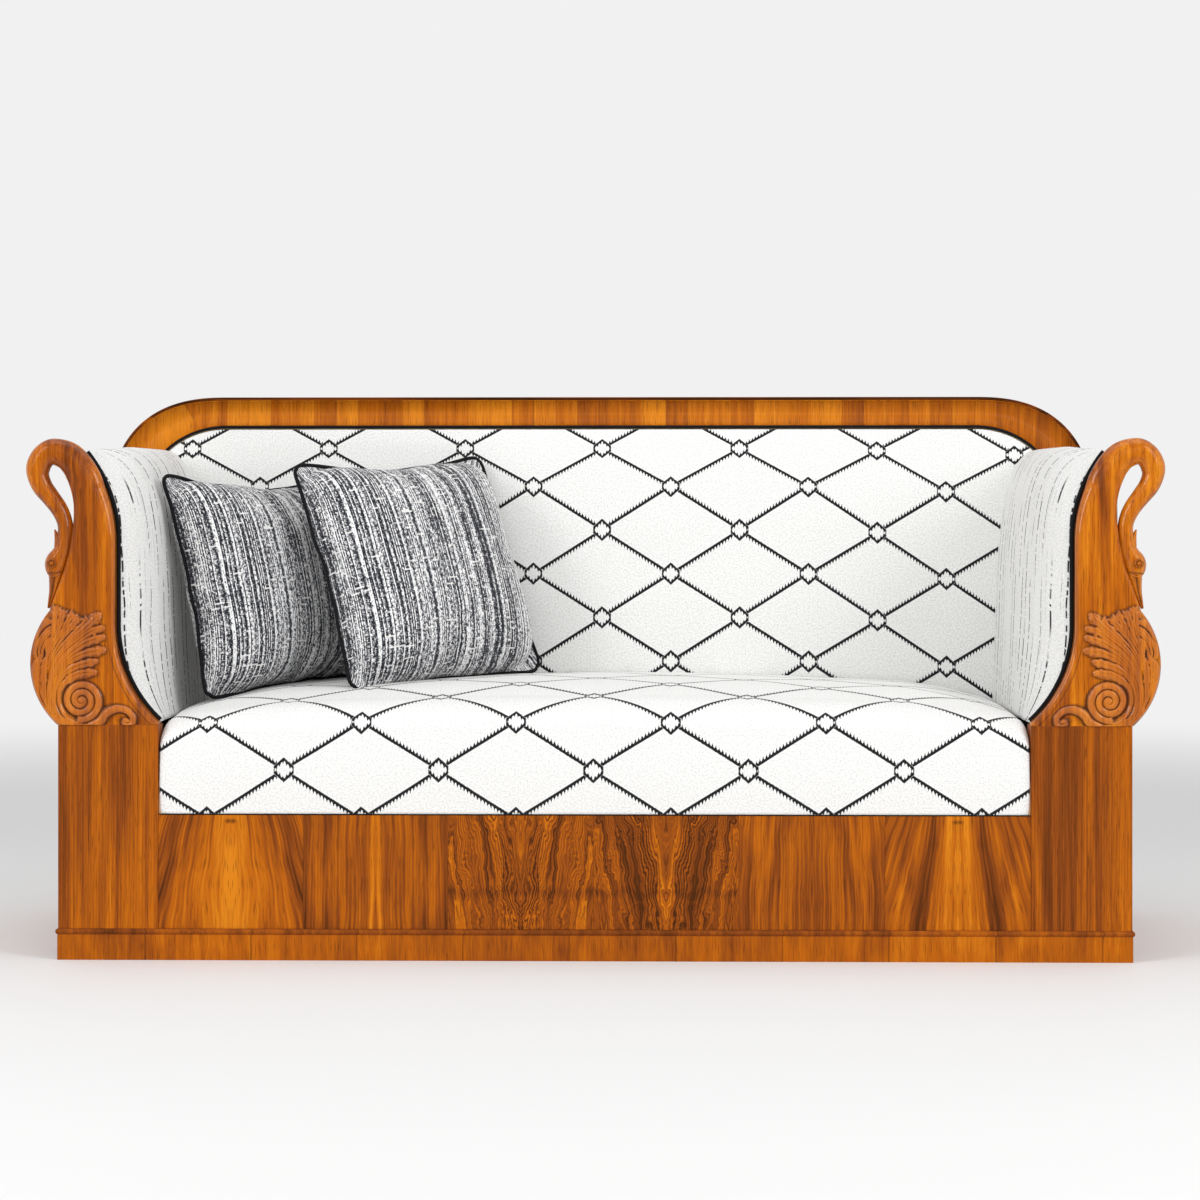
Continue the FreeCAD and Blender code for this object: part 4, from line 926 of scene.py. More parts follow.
def arm_line(upright, foot, head, steps=28):
    """The S of the arm from foot to head, in the right-hand arm's X and Z."""
    lower = tangent_arc(foot, WAIST_LOW, upright, steps)[::-1]
    middle = [(upright, z) for z in np.linspace(WAIST_LOW, WAIST_HIGH, 14)[1:]]
    return lower + middle + tangent_arc(head, WAIST_HIGH, upright, steps)[1:]


def even_steps(points, count):
    """The same line with its points spaced evenly."""
    points = np.asarray(points)
    run = run_length(points)
    place = np.linspace(0, run[-1], count)
    return np.stack([np.interp(place, run, points[:, n]) for n in (0, 1)], axis=1)


print("line of the arm:", round(float(run_length(arm_line(WAIST, FOOT, HEAD))[-1]), 3), "m long")

# %% [markdown]
# The pad rolls over the top rail. Behind the swan it swells towards the sitter, and at the back it stands
# square under the crest. A straight sweep would keep one section, so the S is blended step by step into a
# squarer one.

# %% arm pads
def arm_pad(name, side):
    shares = np.concatenate([np.linspace(0, 0.2, 22), np.linspace(0.2, 1, 34)[1:]])
    fine = np.linspace(0, 1, 401)
    swell = np.interp(fine, [0, 0.03, 0.11, 0.38, 0.7, 1], [-0.15, 0.25, 0.65, 0.85, 0.95, 1])
    kernel = np.exp(-np.linspace(-2, 2, 25) ** 2)
    longer = np.pad(swell, 12, mode="reflect", reflect_type="odd")
    smooth = np.convolve(longer, kernel / kernel.sum(), "valid")
    square = even_steps(flow([PAD_FOOT, (0.783, 0.50), (0.786, 0.60), (0.790, 0.70), (0.796, 0.77),
                              (0.805, 0.828), (0.815, 0.868), (0.830, 0.902), (0.853, 0.924), (0.882, 0.931),
                              (0.908, 0.928), PAD_HEAD], 160), 80)
    rings, cloth = [], []
    for share in shares:
        y = ARM_FRONT + share * ARM_LONG
        upright = WAIST - 0.040 * float(np.interp(share, fine, smooth))
        front = even_steps(arm_line(upright, PAD_FOOT, PAD_HEAD), 80)
        full = float(np.interp(share, [0, 0.06, 0.2, 0.5, 1], [0, 0.2, 0.6, 0.9, 1]))
        path = [tuple(p) for p in front * (1 - full) + square * full]
        for step in range(1, 9):
            turn = math.radians(90) * step / 8
            path.append((0.928 + 0.012 * math.sin(turn), 0.9075 + 0.0105 * math.cos(turn)))
        run = run_length(path)
        path += [(0.940, 0.894), (0.940, 0.8805)]
        path += [(ARM_INSIDE, z) for z in (0.8805, 0.65, 0.425)]
        ring, maps = [], []
        for n, (x, z) in enumerate(path):
            length = float(run[n]) if n < len(run) else float(run[-1])
            if n < len(run) - 4:
                x += soft_noise(y * 3.0, z, side, 5.0, 0.0016) * min(1.0, share * 12)
            ring.append((side * x, y, z))
            maps.append((y, length))
        rings.append(ring)
        cloth.append(maps + [maps[0]])
    return loft(name, rings, cloth, DASHED)


for side, word in SIDES:
    arm = arm_pad(word + "_arm_pad", side)
    settle(arm, "sofa", 0.85, "dashed_cloth", word + "_arm_upholstery")
print("arms:", len(arm.data.polygons), "faces each")

# %% [markdown]
# ### Outer cloth
# Outside, the arms and the back are closed by plain cloth drawn over thin wadding. A flat board would look
# hard, so each panel is a stack of shrinking outlines that rise quickly at the edge and then swell a little.

# %% outer cloth
def puffed_slab(name, outline, low, high, axis, swell, material):
    """A thin padded panel: an outline in the panel's plane, swollen on its outer side."""
    outline = np.asarray(outline)
    middle = outline.mean(axis=0)
    rings = []
    for grow, rise in ((1.0, 0.0), (0.999, 0.55), (0.994, 0.85), (0.97, 1.0), (0.9, 1.0 + swell * 0.5),
                       (0.6, 1.0 + swell), (0.2, 1.0 + swell * 1.1)):
        rings.append([(p, low + (high - low) * rise) for p in middle + (outline - middle) * grow])
    vertices = []
    for ring in rings:
        for (a, b), level in ring:
            vertices.append(((level, a, b), (a, level, b), (a, b, level))[axis])
    return own_mesh(name, vertices, ring_faces(len(rings), len(outline)), None, material)


def along_edges(corners, step=0.03):
    """Points spaced evenly along a closed outline."""
    points = []
    for start, end in zip(corners, corners[1:] + corners[:1]):
        start, end = np.asarray(start), np.asarray(end)
        many = max(1, int(np.linalg.norm(end - start) / step))
        points += [tuple(start + (end - start) * n / many) for n in range(many)]
    return points


def back_outline(foot):
    """Outline of the back's opening from a level up to the crest."""
    outline = [(-0.8855, foot), (0.8855, foot)]
    outline += [(opening_width(z, 0.0005), z) for z in np.linspace(0.86, 0.9775, 24)]
    return outline + [(-x, z) for x, z in outline[:1:-1]]


for side, word in SIDES:
    low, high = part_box(word + "_outer_arm_panel")
    corners = [(low.y, low.z), (high.y, low.z), (high.y, high.z), (low.y, high.z)]
    inner, outer = (low.x, high.x) if side > 0 else (high.x, low.x)
    panel = puffed_slab(word + "_outer_arm_cloth", along_edges(corners), inner, outer, 0, 0.5, PLAIN)
    settle(panel, "sofa", 0.9, "plain_cloth", word + "_outer_arm_panel")
low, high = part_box("outer_back_panel")
rear = puffed_slab("outer_back_cloth", along_edges(back_outline(low.z)), low.y, high.y, 1, 0.35, PLAIN)
settle(rear, "sofa", 0.9, "plain_cloth", "outer_back_panel")
print("outer cloth: two arms and the back")

# %% [markdown]
# ### Webbing
# Under the stuffing, jute straps are woven across the seat frame and run up the back. One flat plate would
# hide the weave, so every strap is a thin ribbon that passes over one neighbour and under the next.

# %% webbing
SEAT_HALF, SEAT_FRONT, SEAT_REAR = 0.7795, -0.33, 0.224  # the part of the seat frame that is covered
STRAP_LEVEL, STRAP_LIFT = 0.3221, 0.001  # middle of the webbing, and how far a strap rises or dips


def strap(line, across, up, wide=0.050, thick=0.0014):
    """Vertices and faces of one strap along a line of points."""
    line, across, up = np.asarray(line), np.asarray(across) * wide / 2, np.asarray(up) * thick / 2
    ring = np.stack([line - across - up, line + across - up, line + across + up, line - across + up], axis=1)
    return ring.reshape(-1, 3), ring_faces(len(line), 4)


def strap_set(name, straps, replaced):
    """One piece of webbing from its straps, set on the sofa in place of the frame node it replaces."""
    vertices, faces = [], []
    for points, quads in straps:
        faces += [[n + sum(map(len, vertices)) for n in quad] for quad in quads]
        vertices.append(points)
    webbing = own_mesh(name, np.vstack(vertices), faces, None, JUTE)
    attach(webbing, "sofa")
    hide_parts(replaced)


DEEP_STRAPS = [-0.715 + 0.11 * n for n in range(14)]
WIDE_STRAPS = [-0.276 + 0.11 * n for n in range(5)]
woven_straps = []
for i, x in enumerate(DEEP_STRAPS):
    lift = [STRAP_LIFT * (-1) ** (i + j) for j in range(len(WIDE_STRAPS))]
    places = np.linspace(SEAT_FRONT, SEAT_REAR, 40)
    line = [(x, y, STRAP_LEVEL + np.interp(y, WIDE_STRAPS, lift)) for y in places]
    woven_straps.append(strap(line, (1, 0, 0), (0, 0, 1)))
for j, y in enumerate(WIDE_STRAPS):
    lift = [-STRAP_LIFT * (-1) ** (i + j) for i in range(len(DEEP_STRAPS))]
    places = np.linspace(-SEAT_HALF, SEAT_HALF, 110)
    line = [(x, y, STRAP_LEVEL + np.interp(x, DEEP_STRAPS, lift)) for x in places]
    woven_straps.append(strap(line, (0, 1, 0), (0, 0, 1)))
strap_set("seat_straps", woven_straps,
          "seat_webbing")
upright_straps = []
for n in range(12):
    line = [(-0.825 + 0.15 * n, 0.273, z) for z in np.linspace(0.26, 0.915, 20)]
    upright_straps.append(strap(line, (1, 0, 0), (0, 1, 0)))
strap_set("back_straps", upright_straps,
          "back_webbing")
print("webbing:", len(woven_straps), "straps in the seat,", len(upright_straps), "in the back")

# %% [markdown]
# ### Hessian
# Hessian is stretched flat over the webbing and over the inside of the arms, to carry the stuffing. It hangs
# free nowhere, so a thin flat slab shows it truly and no simulation is needed.

# %% hessian
def taut_sheet(name, outline, level, axis, replaced):
    """A sheet stretched flat over a frame."""
    piece = puffed_slab(name, along_edges(outline), level - 0.0004, level + 0.0004, axis, 0.0, HESSIAN)
    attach(piece, "sofa")
    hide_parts(replaced)


corners = [(-SEAT_HALF, SEAT_FRONT), (SEAT_HALF, SEAT_FRONT), (SEAT_HALF, SEAT_REAR), (-SEAT_HALF, SEAT_REAR)]
taut_sheet("seat_hessian_sheet", corners, 0.3252, 2, "seat_hessian")
taut_sheet("back_hessian_sheet", back_outline(BACK_FOOT), 0.2711, 1, "back_hessian")
for side, word in SIDES:
    corners = [(-0.30, 0.421), (0.264, 0.421), (0.264, 0.88), (-0.30, 0.88)]
    taut_sheet(word + "_arm_hessian_sheet", corners, side * 0.903, 0,
               word + "_arm_hessian")
print("hessian: seat, back and two arms")

# %% [markdown]
# ## Crest
# The crest is veneered on a rail whose shoulders are a little squarer than a circle, with a thin dark
# moulding on top. A bevelled curve could make both, but its section stays the same. Here each ring reaches
# from an inner arch to an outer one, so the band is broad at the shoulders and all its edges are eased.

# %% crest rail and moulding
CREST_FOOT, SHOULDER = 0.9152, 2.45  # lower end of the shoulders, and their squareness; 2 is a circle


def shoulder(reach, power, count=44):
    """Points of a rounded shoulder from the crest's foot up to its flat, on the right."""
    start = math.asin(((CREST_FOOT - CREST_CENTRE) / reach) ** (power / 2))
    turns = np.linspace(start, math.pi / 2, count)
    return np.stack([CREST_FLAT + reach * np.clip(np.cos(turns), 0, 1) ** (2 / power),
                     CREST_CENTRE + reach * np.sin(turns) ** (2 / power)], axis=1)


def arch(reach, power):
    """The whole arch from the right foot over to the left foot."""
    right = shoulder(reach, power)
    flat = [(x, CREST_CENTRE + reach) for x in np.linspace(CREST_FLAT, -CREST_FLAT, 72)[1:-1]]
    return np.vstack([right, flat, right[::-1] * np.array([-1, 1])])


def arch_sweep(name, inner, outer, front, rear, ease, material):
    """A band between two arches with eased corners all round."""
    rings = []
    for near, far in zip(inner, outer):
        across = (far - near) / np.linalg.norm(far - near)
        ring = []
        for base, sign, y, way in ((near, 1, front, 1), (far, -1, front, 1),
                                   (far, -1, rear, -1), (near, 1, rear, -1)):
            turns = np.linspace(0, math.pi / 2, 6)
            if (sign > 0) == (way < 0):
                turns = turns[::-1]
            for t in turns:
                put = base + across * sign * ease * (1 - math.sin(t))
                ring.append((put[0], y + way * ease * (1 - math.cos(t)), put[1]))
        rings.append(ring)
    blank = [[(0.0, 0.0)] * (len(rings[0]) + 1)] * len(rings)
    return loft(name, rings, blank, material)


opening, rail_top, moulding_top = arch(OPENING, 2.0), arch(0.2300, SHOULDER), arch(0.2355, SHOULDER)
rail = arch_sweep("crest_rail_veneered", opening, rail_top, 0.266, 0.336, 0.0025, CREST)
edge = arch_sweep("crest_moulding_polished", rail_top - (0, 0.0004), moulding_top, 0.2645, 0.339, 0.0022,
                  DARK_EDGE)
for band, slot, replaced in ((rail, "walnut", "crest_rail"), (edge, "dark_walnut", "crest_moulding")):
    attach(band, "sofa")
    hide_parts(replaced)
print("crest:", len(rail.data.polygons), "faces, moulding:", len(edge.data.polygons))

# %% [markdown]
# ## Swans
# Each arm front is one plank of walnut: a breast with a carved acanthus and a scroll, a waist that
# follows the arm, and a neck that loops over and comes down to the head and beak. It could be sculpted by
# hand, but a change of size would mean starting again. Here every cut is a height over the plank's face,
# reckoned from the distance to drawn lines, so the first helpers draw arcs and measure distances. Points of
# the carving are in millimetres outwards and upwards from a point near the outer top corner of the post.

# %% arcs and distances
def bow(start, through, end, count=24):
    """Points of the circle arc through three points."""
    (ax, ay), (bx, by), (cx, cy) = start, through, end
    d = 2 * (ax * (by - cy) + bx * (cy - ay) + cx * (ay - by))
    a, b, c = ax * ax + ay * ay, bx * bx + by * by, cx * cx + cy * cy
    ux = (a * (by - cy) + b * (cy - ay) + c * (ay - by)) / d
    uy = (a * (cx - bx) + b * (ax - cx) + c * (bx - ax)) / d
    angles = np.unwrap([math.atan2(y - uy, x - ux) for x, y in (start, through, end)])
    turn = np.interp(np.linspace(0, 2, count), [0, 1, 2], angles)
    reach = math.hypot(ax - ux, ay - uy)
    return [(ux + reach * math.cos(t), uy + reach * math.sin(t)) for t in turn]


def line_distance(x, z, line):
    """Distance of every grid point to a line, and how far along the line its nearest point is."""
    best = np.full(x.shape, 1e9)
    share = np.zeros(x.shape)
    many = len(line) - 1
    for n in range(many):
        (ax, az), (bx, bz) = line[n], line[n + 1]
        dx, dz = bx - ax, bz - az
        t = np.clip(((x - ax) * dx + (z - az) * dz) / (dx * dx + dz * dz + 1e-12), 0, 1)
        far = np.hypot(x - ax - t * dx, z - az - t * dz)
        nearer = far < best
        best[nearer] = far[nearer]
        share[nearer] = (n + t[nearer]) / many
    return best, share


POST_X, POST_Z = 960, 421  # that point on the right-hand post
print("carving starts", POST_X, "mm out and", POST_Z, "mm up")

# %% [markdown]
# ### Acanthus and scroll
# The acanthus is cut as rounded fronds. Each frond is a line from its root to its tip with a width
# and a height; where two fronds meet, the lower edge between them is left as a cut. The breast is wound
# into a flat scroll, and a thin tail curls away from it.

# %% acanthus, scroll and tail
GREAT_LEAF = [
    [(-76, 4), (-42, 1), (-13, 16), (-2, 43), (-6, 67), (-18, 80), (-33, 90), (-50, 94), (-65, 94)],
    [(-52, -2), (-7, 14), (5, 43), (1, 70), (-11, 91), (-31, 104), (-50, 110), (-67, 114)],
    [(-42, -3), (-2, 14), (9, 43), (6, 74), (-6, 98), (-24, 116), (-48, 128), (-67, 132), (-82, 134)],
    [(-33, -3), (3, 14), (13, 43), (11, 75), (-1, 104), (-21, 127), (-45, 144), (-62, 152), (-80, 157)],
    [(-24, -3), (7, 15), (17, 45), (15, 77), (4, 108), (-14, 132), (-38, 152), (-59, 167), (-79, 173)],
    [(18, 80), (8, 111), (-9, 137), (-31, 158), (-52, 175), (-64, 187), (-73, 197)],
    [(20, 84), (10, 115), (-4, 139), (-23, 158), (-40, 173), (-49, 182), (-53, 188)],
    [(21, 86), (12, 118), (0, 142), (-14, 162), (-25, 176), (-32, 185), (-36, 190)],
    [(22, 87), (14, 122), (5, 144), (-7, 164), (-16, 180), (-22, 191), (-26, 196)],
    [(22, 91), (17, 125), (9, 146), (1, 164), (-4, 182), (-8, 194), (-10, 202)],
    [(24, 94), (19, 127), (13, 147), (8, 166), (5, 185), (4, 199), (2, 208)],
    [(-16, -2), (12, 16), (22, 45), (25, 75), (25, 100), (22, 118)]]
SIDE_LEAF = [
    [(-4, 1), (17, 21), (32, 46), (39, 74), (41, 94), (39, 115)],
    [(-11, 1), (10, 21), (25, 46), (33, 74), (35, 98), (33, 115), (28, 127)],
    [(37, 117), (40, 132), (34, 149), (23, 164), (10, 177)],
    [(33, 119), (33, 135), (27, 151), (17, 163), (8, 171)],
    [(28, 122), (27, 135), (21, 147), (12, 156)],
    [(22, 108), (18, 125), (18, 137), (13, 149)],
    [(15, 106), (12, 125), (13, 139), (9, 156)],
    [(38, 156), (30, 171), (20, 182), (7, 187)]]
SCROLL_TAIL = [(-59, -2), (-76, 7), (-86, 20), (-100, 28), (-114, 29), (-127, 24), (-135, 14), (-134, 3),
               (-126, -1), (-119, 3), (-121, 9), (-126, 7)]
SCROLL, SCROLL_REACH, SCROLL_STEP = (-42.0, 44.0), 41.5, 13.2  # middle, radius and width of one turn
print("acanthus:", len(GREAT_LEAF) + len(SIDE_LEAF), "fronds")

# %% [markdown]
# Each frond becomes a height over the grid of the plank, and the highest one wins. First come broad low
# fronds as a ground, then slim high ones with small lobes on both sides, the tail and the scroll.

# %% carving
def frond(out, up, line, width, height, tip, teeth=0.0, root=0.55):
    """Height of one rounded frond over the plank: it swells from its root and thins to its tip."""
    far, share = line_distance(out, up, flow(line, 30))
    half = width * np.interp(share, [0, 0.35, 0.7, 0.92, 1], [root, root * 1.25, 1.0, 0.85, tip])
    half = half * (1 + teeth * np.sin(share * 40))
    inside = np.clip(1 - (far / half) ** 2, 0, 1)
    crease = 1 - 0.35 * np.exp(-(far / (0.16 * half)) ** 2) * np.clip(share * 3 - 0.6, 0, 1)
    return height * np.interp(share, [0, 0.2, 0.8, 1], [0.5, 0.85, 1.0, 0.75]) * inside ** 0.5 * crease


def carving(out, up):
    """Height in millimetres of all the carved work above the plank's face."""
    high = np.zeros(out.shape)
    for line in GREAT_LEAF:
        high = np.maximum(high, frond(out, up, line, 12.5, 2.7, 0.5, 0.0, 0.45))
    for line in SIDE_LEAF:
        high = np.maximum(high, frond(out, up, line, 9.0, 2.4, 0.5, 0.0, 0.6))
    for n, line in enumerate(GREAT_LEAF):
        wide = 8.2 if n < 5 else 7.0
        high = np.maximum(high, frond(out, up, line, wide, 5.6 + 0.5 * (n % 2), 0.5, 0.07, 0.27))
        start = flow(line, 30)
        for share in (0.62, 0.76, 0.88):
            root, ahead = start[int(share * 29)], start[min(29, int(share * 29) + 3)]
            along = (ahead - root) / max(np.linalg.norm(ahead - root), 1e-6)
            for side in (-1, 1):
                beside = np.array([-along[1], along[0]]) * side
                lobe = [root, root + along * 5 + beside * 4.0, root + along * 10 + beside * 6.2]
                high = np.maximum(high, frond(out, up, lobe, 3.0, 4.8, 0.6))
    for n, line in enumerate(SIDE_LEAF):
        wide = 5.6 if n < 2 else 5.0
        high = np.maximum(high, frond(out, up, line, wide, 5.0 + 0.4 * (n % 2), 0.45, 0.06, 0.45))
    far, share = line_distance(out, up, flow(SCROLL_TAIL, 60))
    half = np.interp(share, [0, 0.2, 0.45, 0.75, 1], [8.0, 7.5, 6.0, 4.4, 3.6])
    high = np.maximum(high, 4.4 * np.clip(1 - (far / half) ** 2, 0, 1) ** 0.5)
    across, rise = SCROLL[0] - out, up - SCROLL[1]
    reach = np.hypot(across, rise)
    turn = np.mod(np.arctan2(rise, across) + math.radians(100), 2 * math.pi) / (2 * math.pi)
    wound = (SCROLL_REACH - reach) / SCROLL_STEP - turn
    band = np.sin(math.pi * np.mod(wound, 1.0)) ** 0.45 * 5.2
    edge = SCROLL_REACH - SCROLL_STEP * turn
    scroll = np.where(wound >= 0, band, 0)
    scroll = np.where(reach < 6.0, 5.4 * np.sqrt(np.clip(1 - (reach / 7.5) ** 2, 0, 1)), scroll)
    within = (reach < edge) | (reach < 29)
    return np.where(within, scroll, high)


print("height at the scroll's middle:", carving(np.array([SCROLL[0]]), np.array([SCROLL[1]])).round(2), "mm")

# %% [markdown]
# ### Plank
# The plank is a fine grid between the arm's S and the swan's outer outline, rounded over at its
# edges, more and more so towards the neck. A displacement on a flat board would tear at the outline, so the
# grid follows both edges. Cuts and raised work are remembered, so that shade can be painted into the cuts and
# a highlight onto the raised work.

# %% plank
PLANK_FACE, PLANK_MIDDLE, PLANK_BACK = -336, -318, -300.0
SIDE_EDGE = (bow((963, 421), (1011, 520), (976, 626), 60) + bow((976, 626), (964, 660), (950, 700))[1:]
             + bow((950, 700), (940.5, 738), (935, 780))[1:] + bow((935, 780), (937, 832), (949, 865))[1:]
             + bow((949, 865), (955, 877.5), (966, 888))[1:] + bow((966, 888), (954, 911), (928, 922))[1:])
INNER_EDGE = [(780, 421)] + [(1000 * x, 1000 * z) for x, z in arm_line(WAIST, FOOT, HEAD)]


def blurred(field, reach):
    """Mean of a field over a square window."""
    for axis in (0, 1):
        padded = np.pad(field, [(reach, reach) if n == axis else (0, 0) for n in (0, 1)], mode="edge")
        total = np.cumsum(padded, axis=axis)
        total = np.insert(total, 0, 0, axis=axis)
        window = 2 * reach + 1
        field = (np.take(total, range(window, total.shape[axis]), axis=axis)
                 - np.take(total, range(0, total.shape[axis] - window), axis=axis)) / window
    return field


def swan_plank():
    """Vertices, faces and cut depths of the right-hand plank, in millimetres."""
    rows, columns = 430, 132
    level = np.concatenate([np.linspace(421, 650, 215), np.linspace(650, 921.9, rows - 215 + 1)[1:]])
    inner, outer = np.array(INNER_EDGE), np.array(SIDE_EDGE)
    near = np.interp(level, inner[:, 1], inner[:, 0])
    far = np.interp(level, outer[:, 1], outer[:, 0])
    s = np.linspace(0, 1, columns)
    t = 0.7 * s + 0.3 * (0.5 - 0.5 * np.cos(math.pi * s))
    x = near[:, None] + (far - near)[:, None] * t[None, :]
    z = np.repeat(level[:, None], columns, axis=1)
    to_inner = line_distance(x, z, INNER_EDGE)[0]
    to_outer = line_distance(x, z, SIDE_EDGE)[0]
    inner_round = np.interp(z, [421, 640, 760, 860, 922], [11, 11, 14, 22, 26])
    outer_round = np.interp(z, [421, 620, 640, 760, 860, 922], [9, 8, 6, 12, 22, 26])
    drop = np.zeros(x.shape)
    for away, round_over, deep in ((to_inner, inner_round, 0.75), (to_outer, outer_round, 0.7)):
        part = np.clip(1 - away / round_over, 0, 1)
        drop = drop + deep * round_over * (1 - np.sqrt(1 - part ** 2))
    drop = drop + np.interp(z, [845, 890, 922], [0, 3.5, 8])
    bead = 0.9 * np.exp(-((to_inner - 12.5) / 1.1) ** 2) * np.interp(z, [421, 560, 620], [1, 1, 0])
    high = carving(x - POST_X, z - POST_Z)
    high = high * np.clip(to_outer / 3.0, 0, 1) * np.clip((to_inner - 9) / 3.0, 0, 1)
    face = blurred(high, 1) - np.minimum(drop, 15) - bead
    # painted shade: how far a point lies below the carving around it
    shade_and_highlight = np.clip((blurred(high, 5) - high) / 1.3, 0, 1)
    # painted highlight: raised work goes below 0
    shade_and_highlight = shade_and_highlight - 0.5 * np.clip(high / 4, 0, 1) * (1 - shade_and_highlight)
    # painted shade in the bead's groove along the inner edge
    shade_and_highlight = np.where(bead > 0.05, np.maximum(shade_and_highlight, bead * 0.66), shade_and_highlight)
    front = np.stack([x, PLANK_FACE - face, z], axis=-1).reshape(-1, 3)
    ends = [0, -1]
    back = np.stack([x[:, ends], np.full((rows, 2), PLANK_BACK), z[:, ends]], axis=-1).reshape(-1, 3)
    faces = []
    for i in range(rows - 1):
        a = i * columns
        faces += [(a + j, a + j + 1, a + columns + j + 1, a + columns + j) for j in range(columns - 1)]
        b = rows * columns + 2 * i
        faces += [(a, a + columns, b + 2, b), (a + columns - 1, b + 1, b + 3, a + 2 * columns - 1),
                  (b, b + 2, b + 3, b + 1)]
    first, last = rows * columns, rows * columns + 2 * (rows - 1)
    faces.append([first] + list(range(columns)) + [first + 1])
    top = (rows - 1) * columns
    faces.append([last] + [top + j for j in range(columns)] + [last + 1])
    return np.vstack([front, back]), faces, np.concatenate([shade_and_highlight.ravel(), np.zeros(2 * rows)])


PLANK = swan_plank()
print("plank:", len(PLANK[1]), "faces")

# %% [markdown]
# ### Neck and head
# The neck is lofted through oval rings, from the plank round the loop to the tip of the beak. A curve with
# a round bevel would make a hose; with a width and a thickness at every station it is a neck. The tuft of
# feathers and the brow are small pieces of the same wood.

# %% neck and head
NECK = [(-57, 402, 60, 35), (-45, 442, 58, 36), (-20, 478, 54, 37), (9, 490, 48, 38), (25.6, 484.5, 45, 38),
        (35.6, 472.2, 44, 38), (39.7, 459, 43, 38), (38.7, 444.5, 39, 37), (31, 426.6, 36.5, 35),
        (16.4, 407.5, 33, 33), (2.9, 389.3, 31, 31), (-6.5, 370, 28.5, 30), (-10, 350, 27.5, 30),
        (-7, 320, 29, 33), (-1.5, 306, 34, 37), (6.0, 292, 40, 40), (7.5, 281, 38, 40), (6.5, 272, 31, 37),
        (7.5, 262, 25, 34), (11.0, 240, 17, 29), (16, 222, 11, 22), (20.5, 209, 4.5, 12)]
BEAK_ROOT = 17.0  # the station at which the beak leaves the head
TUFT = [(-1, 303, 24, 30), (1.5, 319, 18, 25), (4.5, 335, 11, 17), (9.5, 350, 2.5, 4)]
BROW = [(22, 272, 4, 12), (15, 267.5, 5, 32), (7, 266.5, 5.5, 39), (-1, 269.5, 5, 34), (-7, 275, 3, 14)]


def oval_loft(stations, rings, around, shape=None):
    """A tube through (outwards, upwards, width, thickness) stations in the plank's middle plane."""
    line = flow(stations, rings)
    heading = np.gradient(line[:, :2], axis=0)
    heading /= np.linalg.norm(heading, axis=1)[:, None]
    angle = np.linspace(0, 2 * math.pi, around, endpoint=False)
    vertices, shades_and_highlights = [], []
    for n in range(rings):
        share = n / (rings - 1) * (len(stations) - 1)
        for a in angle:
            pull, shade_and_highlight = shape(share, a) if shape else (1.0, 0.0)
            side = line[n, 2] / 2 * math.cos(a) * pull
            vertices.append((POST_X + line[n, 0] + heading[n, 1] * side,
                             PLANK_MIDDLE + line[n, 3] / 2 * math.sin(a) * pull,
                             POST_Z + line[n, 1] - heading[n, 0] * side))
            shades_and_highlights.append(shade_and_highlight)
    return np.array(vertices), ring_faces(rings, around), np.array(shades_and_highlights)


def beak_line(share, angle):
    """A slit along the beak and a crease where it leaves the head, with painted shade in both."""
    on_beak = min(max((share - BEAK_ROOT - 0.2) * 3, 0), 1)
    front = math.exp(-((math.degrees(angle) - 270) / 13) ** 2) * on_beak
    crease = math.exp(-((share - BEAK_ROOT) / 0.2) ** 2)
    return 1 - 0.2 * front - 0.09 * crease, min(1.0, 0.9 * front + 0.7 * crease)


print("neck:", len(NECK), "stations")

# %% [markdown]
# The eye is a flattened ball in a raised lid. All pieces of the right-hand swan are made once. The left one
# could be carved anew, but it is the same with its X turned round, and so the two are a true mirror pair.

# %% eye and both swans
def eye_ball(out, up, deep, radius, many=8):
    """A ball flattened towards the plank, with a cap at its front and rear."""
    angles = np.linspace(0, 2 * math.pi, 20)[:-1]
    points = []
    for i in range(1, many + 1):
        tilt = math.pi * i / (many + 1)
        wide = radius * math.sin(tilt)
        points += [(POST_X + out + wide * math.cos(a), deep - 0.7 * radius * math.cos(tilt),
                    POST_Z + up + wide * math.sin(a)) for a in angles]
    # the eye ball takes a little painted shade
    return np.array(points), ring_faces(many, len(angles)), np.full(len(points), 0.1)


def eye_ring(out, up, deep, radius, thick, many=32, around=10):
    """The raised lid round the eye."""
    points = []
    for i in range(many):
        a = 2 * math.pi * i / many
        for j in range(around):
            b = 2 * math.pi * j / around
            wide = radius + thick * math.cos(b)
            points.append((POST_X + out + wide * math.cos(a), deep + thick * math.sin(b),
                           POST_Z + up + wide * math.sin(a)))
    # the lid takes about a third of the painted shade of a cut
    return np.array(points), ring_faces(many, around, looped=True), np.full(len(points), 0.35)


SWAN = [PLANK, oval_loft(NECK, 300, 48, beak_line), oval_loft(TUFT, 24, 20), oval_loft(BROW, 24, 14),
        eye_ball(11.0, 289.5, -339.0, 4.2), eye_ring(11.0, 289.5, -339.4, 7.0, 1.7)]
for side, word in SIDES:
    vertices, faces, shades_and_highlights, first = [], [], [], 0
    for points, rims, dark in SWAN:
        vertices.append(points * np.array([side, 1, 1]) / 1000)
        faces += [tuple(first + n for n in face) for face in rims]
        shades_and_highlights.append(dark)
        first += len(points)
    swan = own_mesh(word + "_swan", np.vstack(vertices), faces, None, CARVED)
    # the painted shade and painted highlight of every point
    painted_shading = swan.data.attributes.new("shade_and_highlight", "FLOAT", "POINT").data
    painted_shading.foreach_set("value", np.concatenate(shades_and_highlights).astype(np.float32))
    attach(swan, "sofa")
    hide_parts(word + "_swan_front")
print("swans:", len(swan.data.polygons), "faces each")
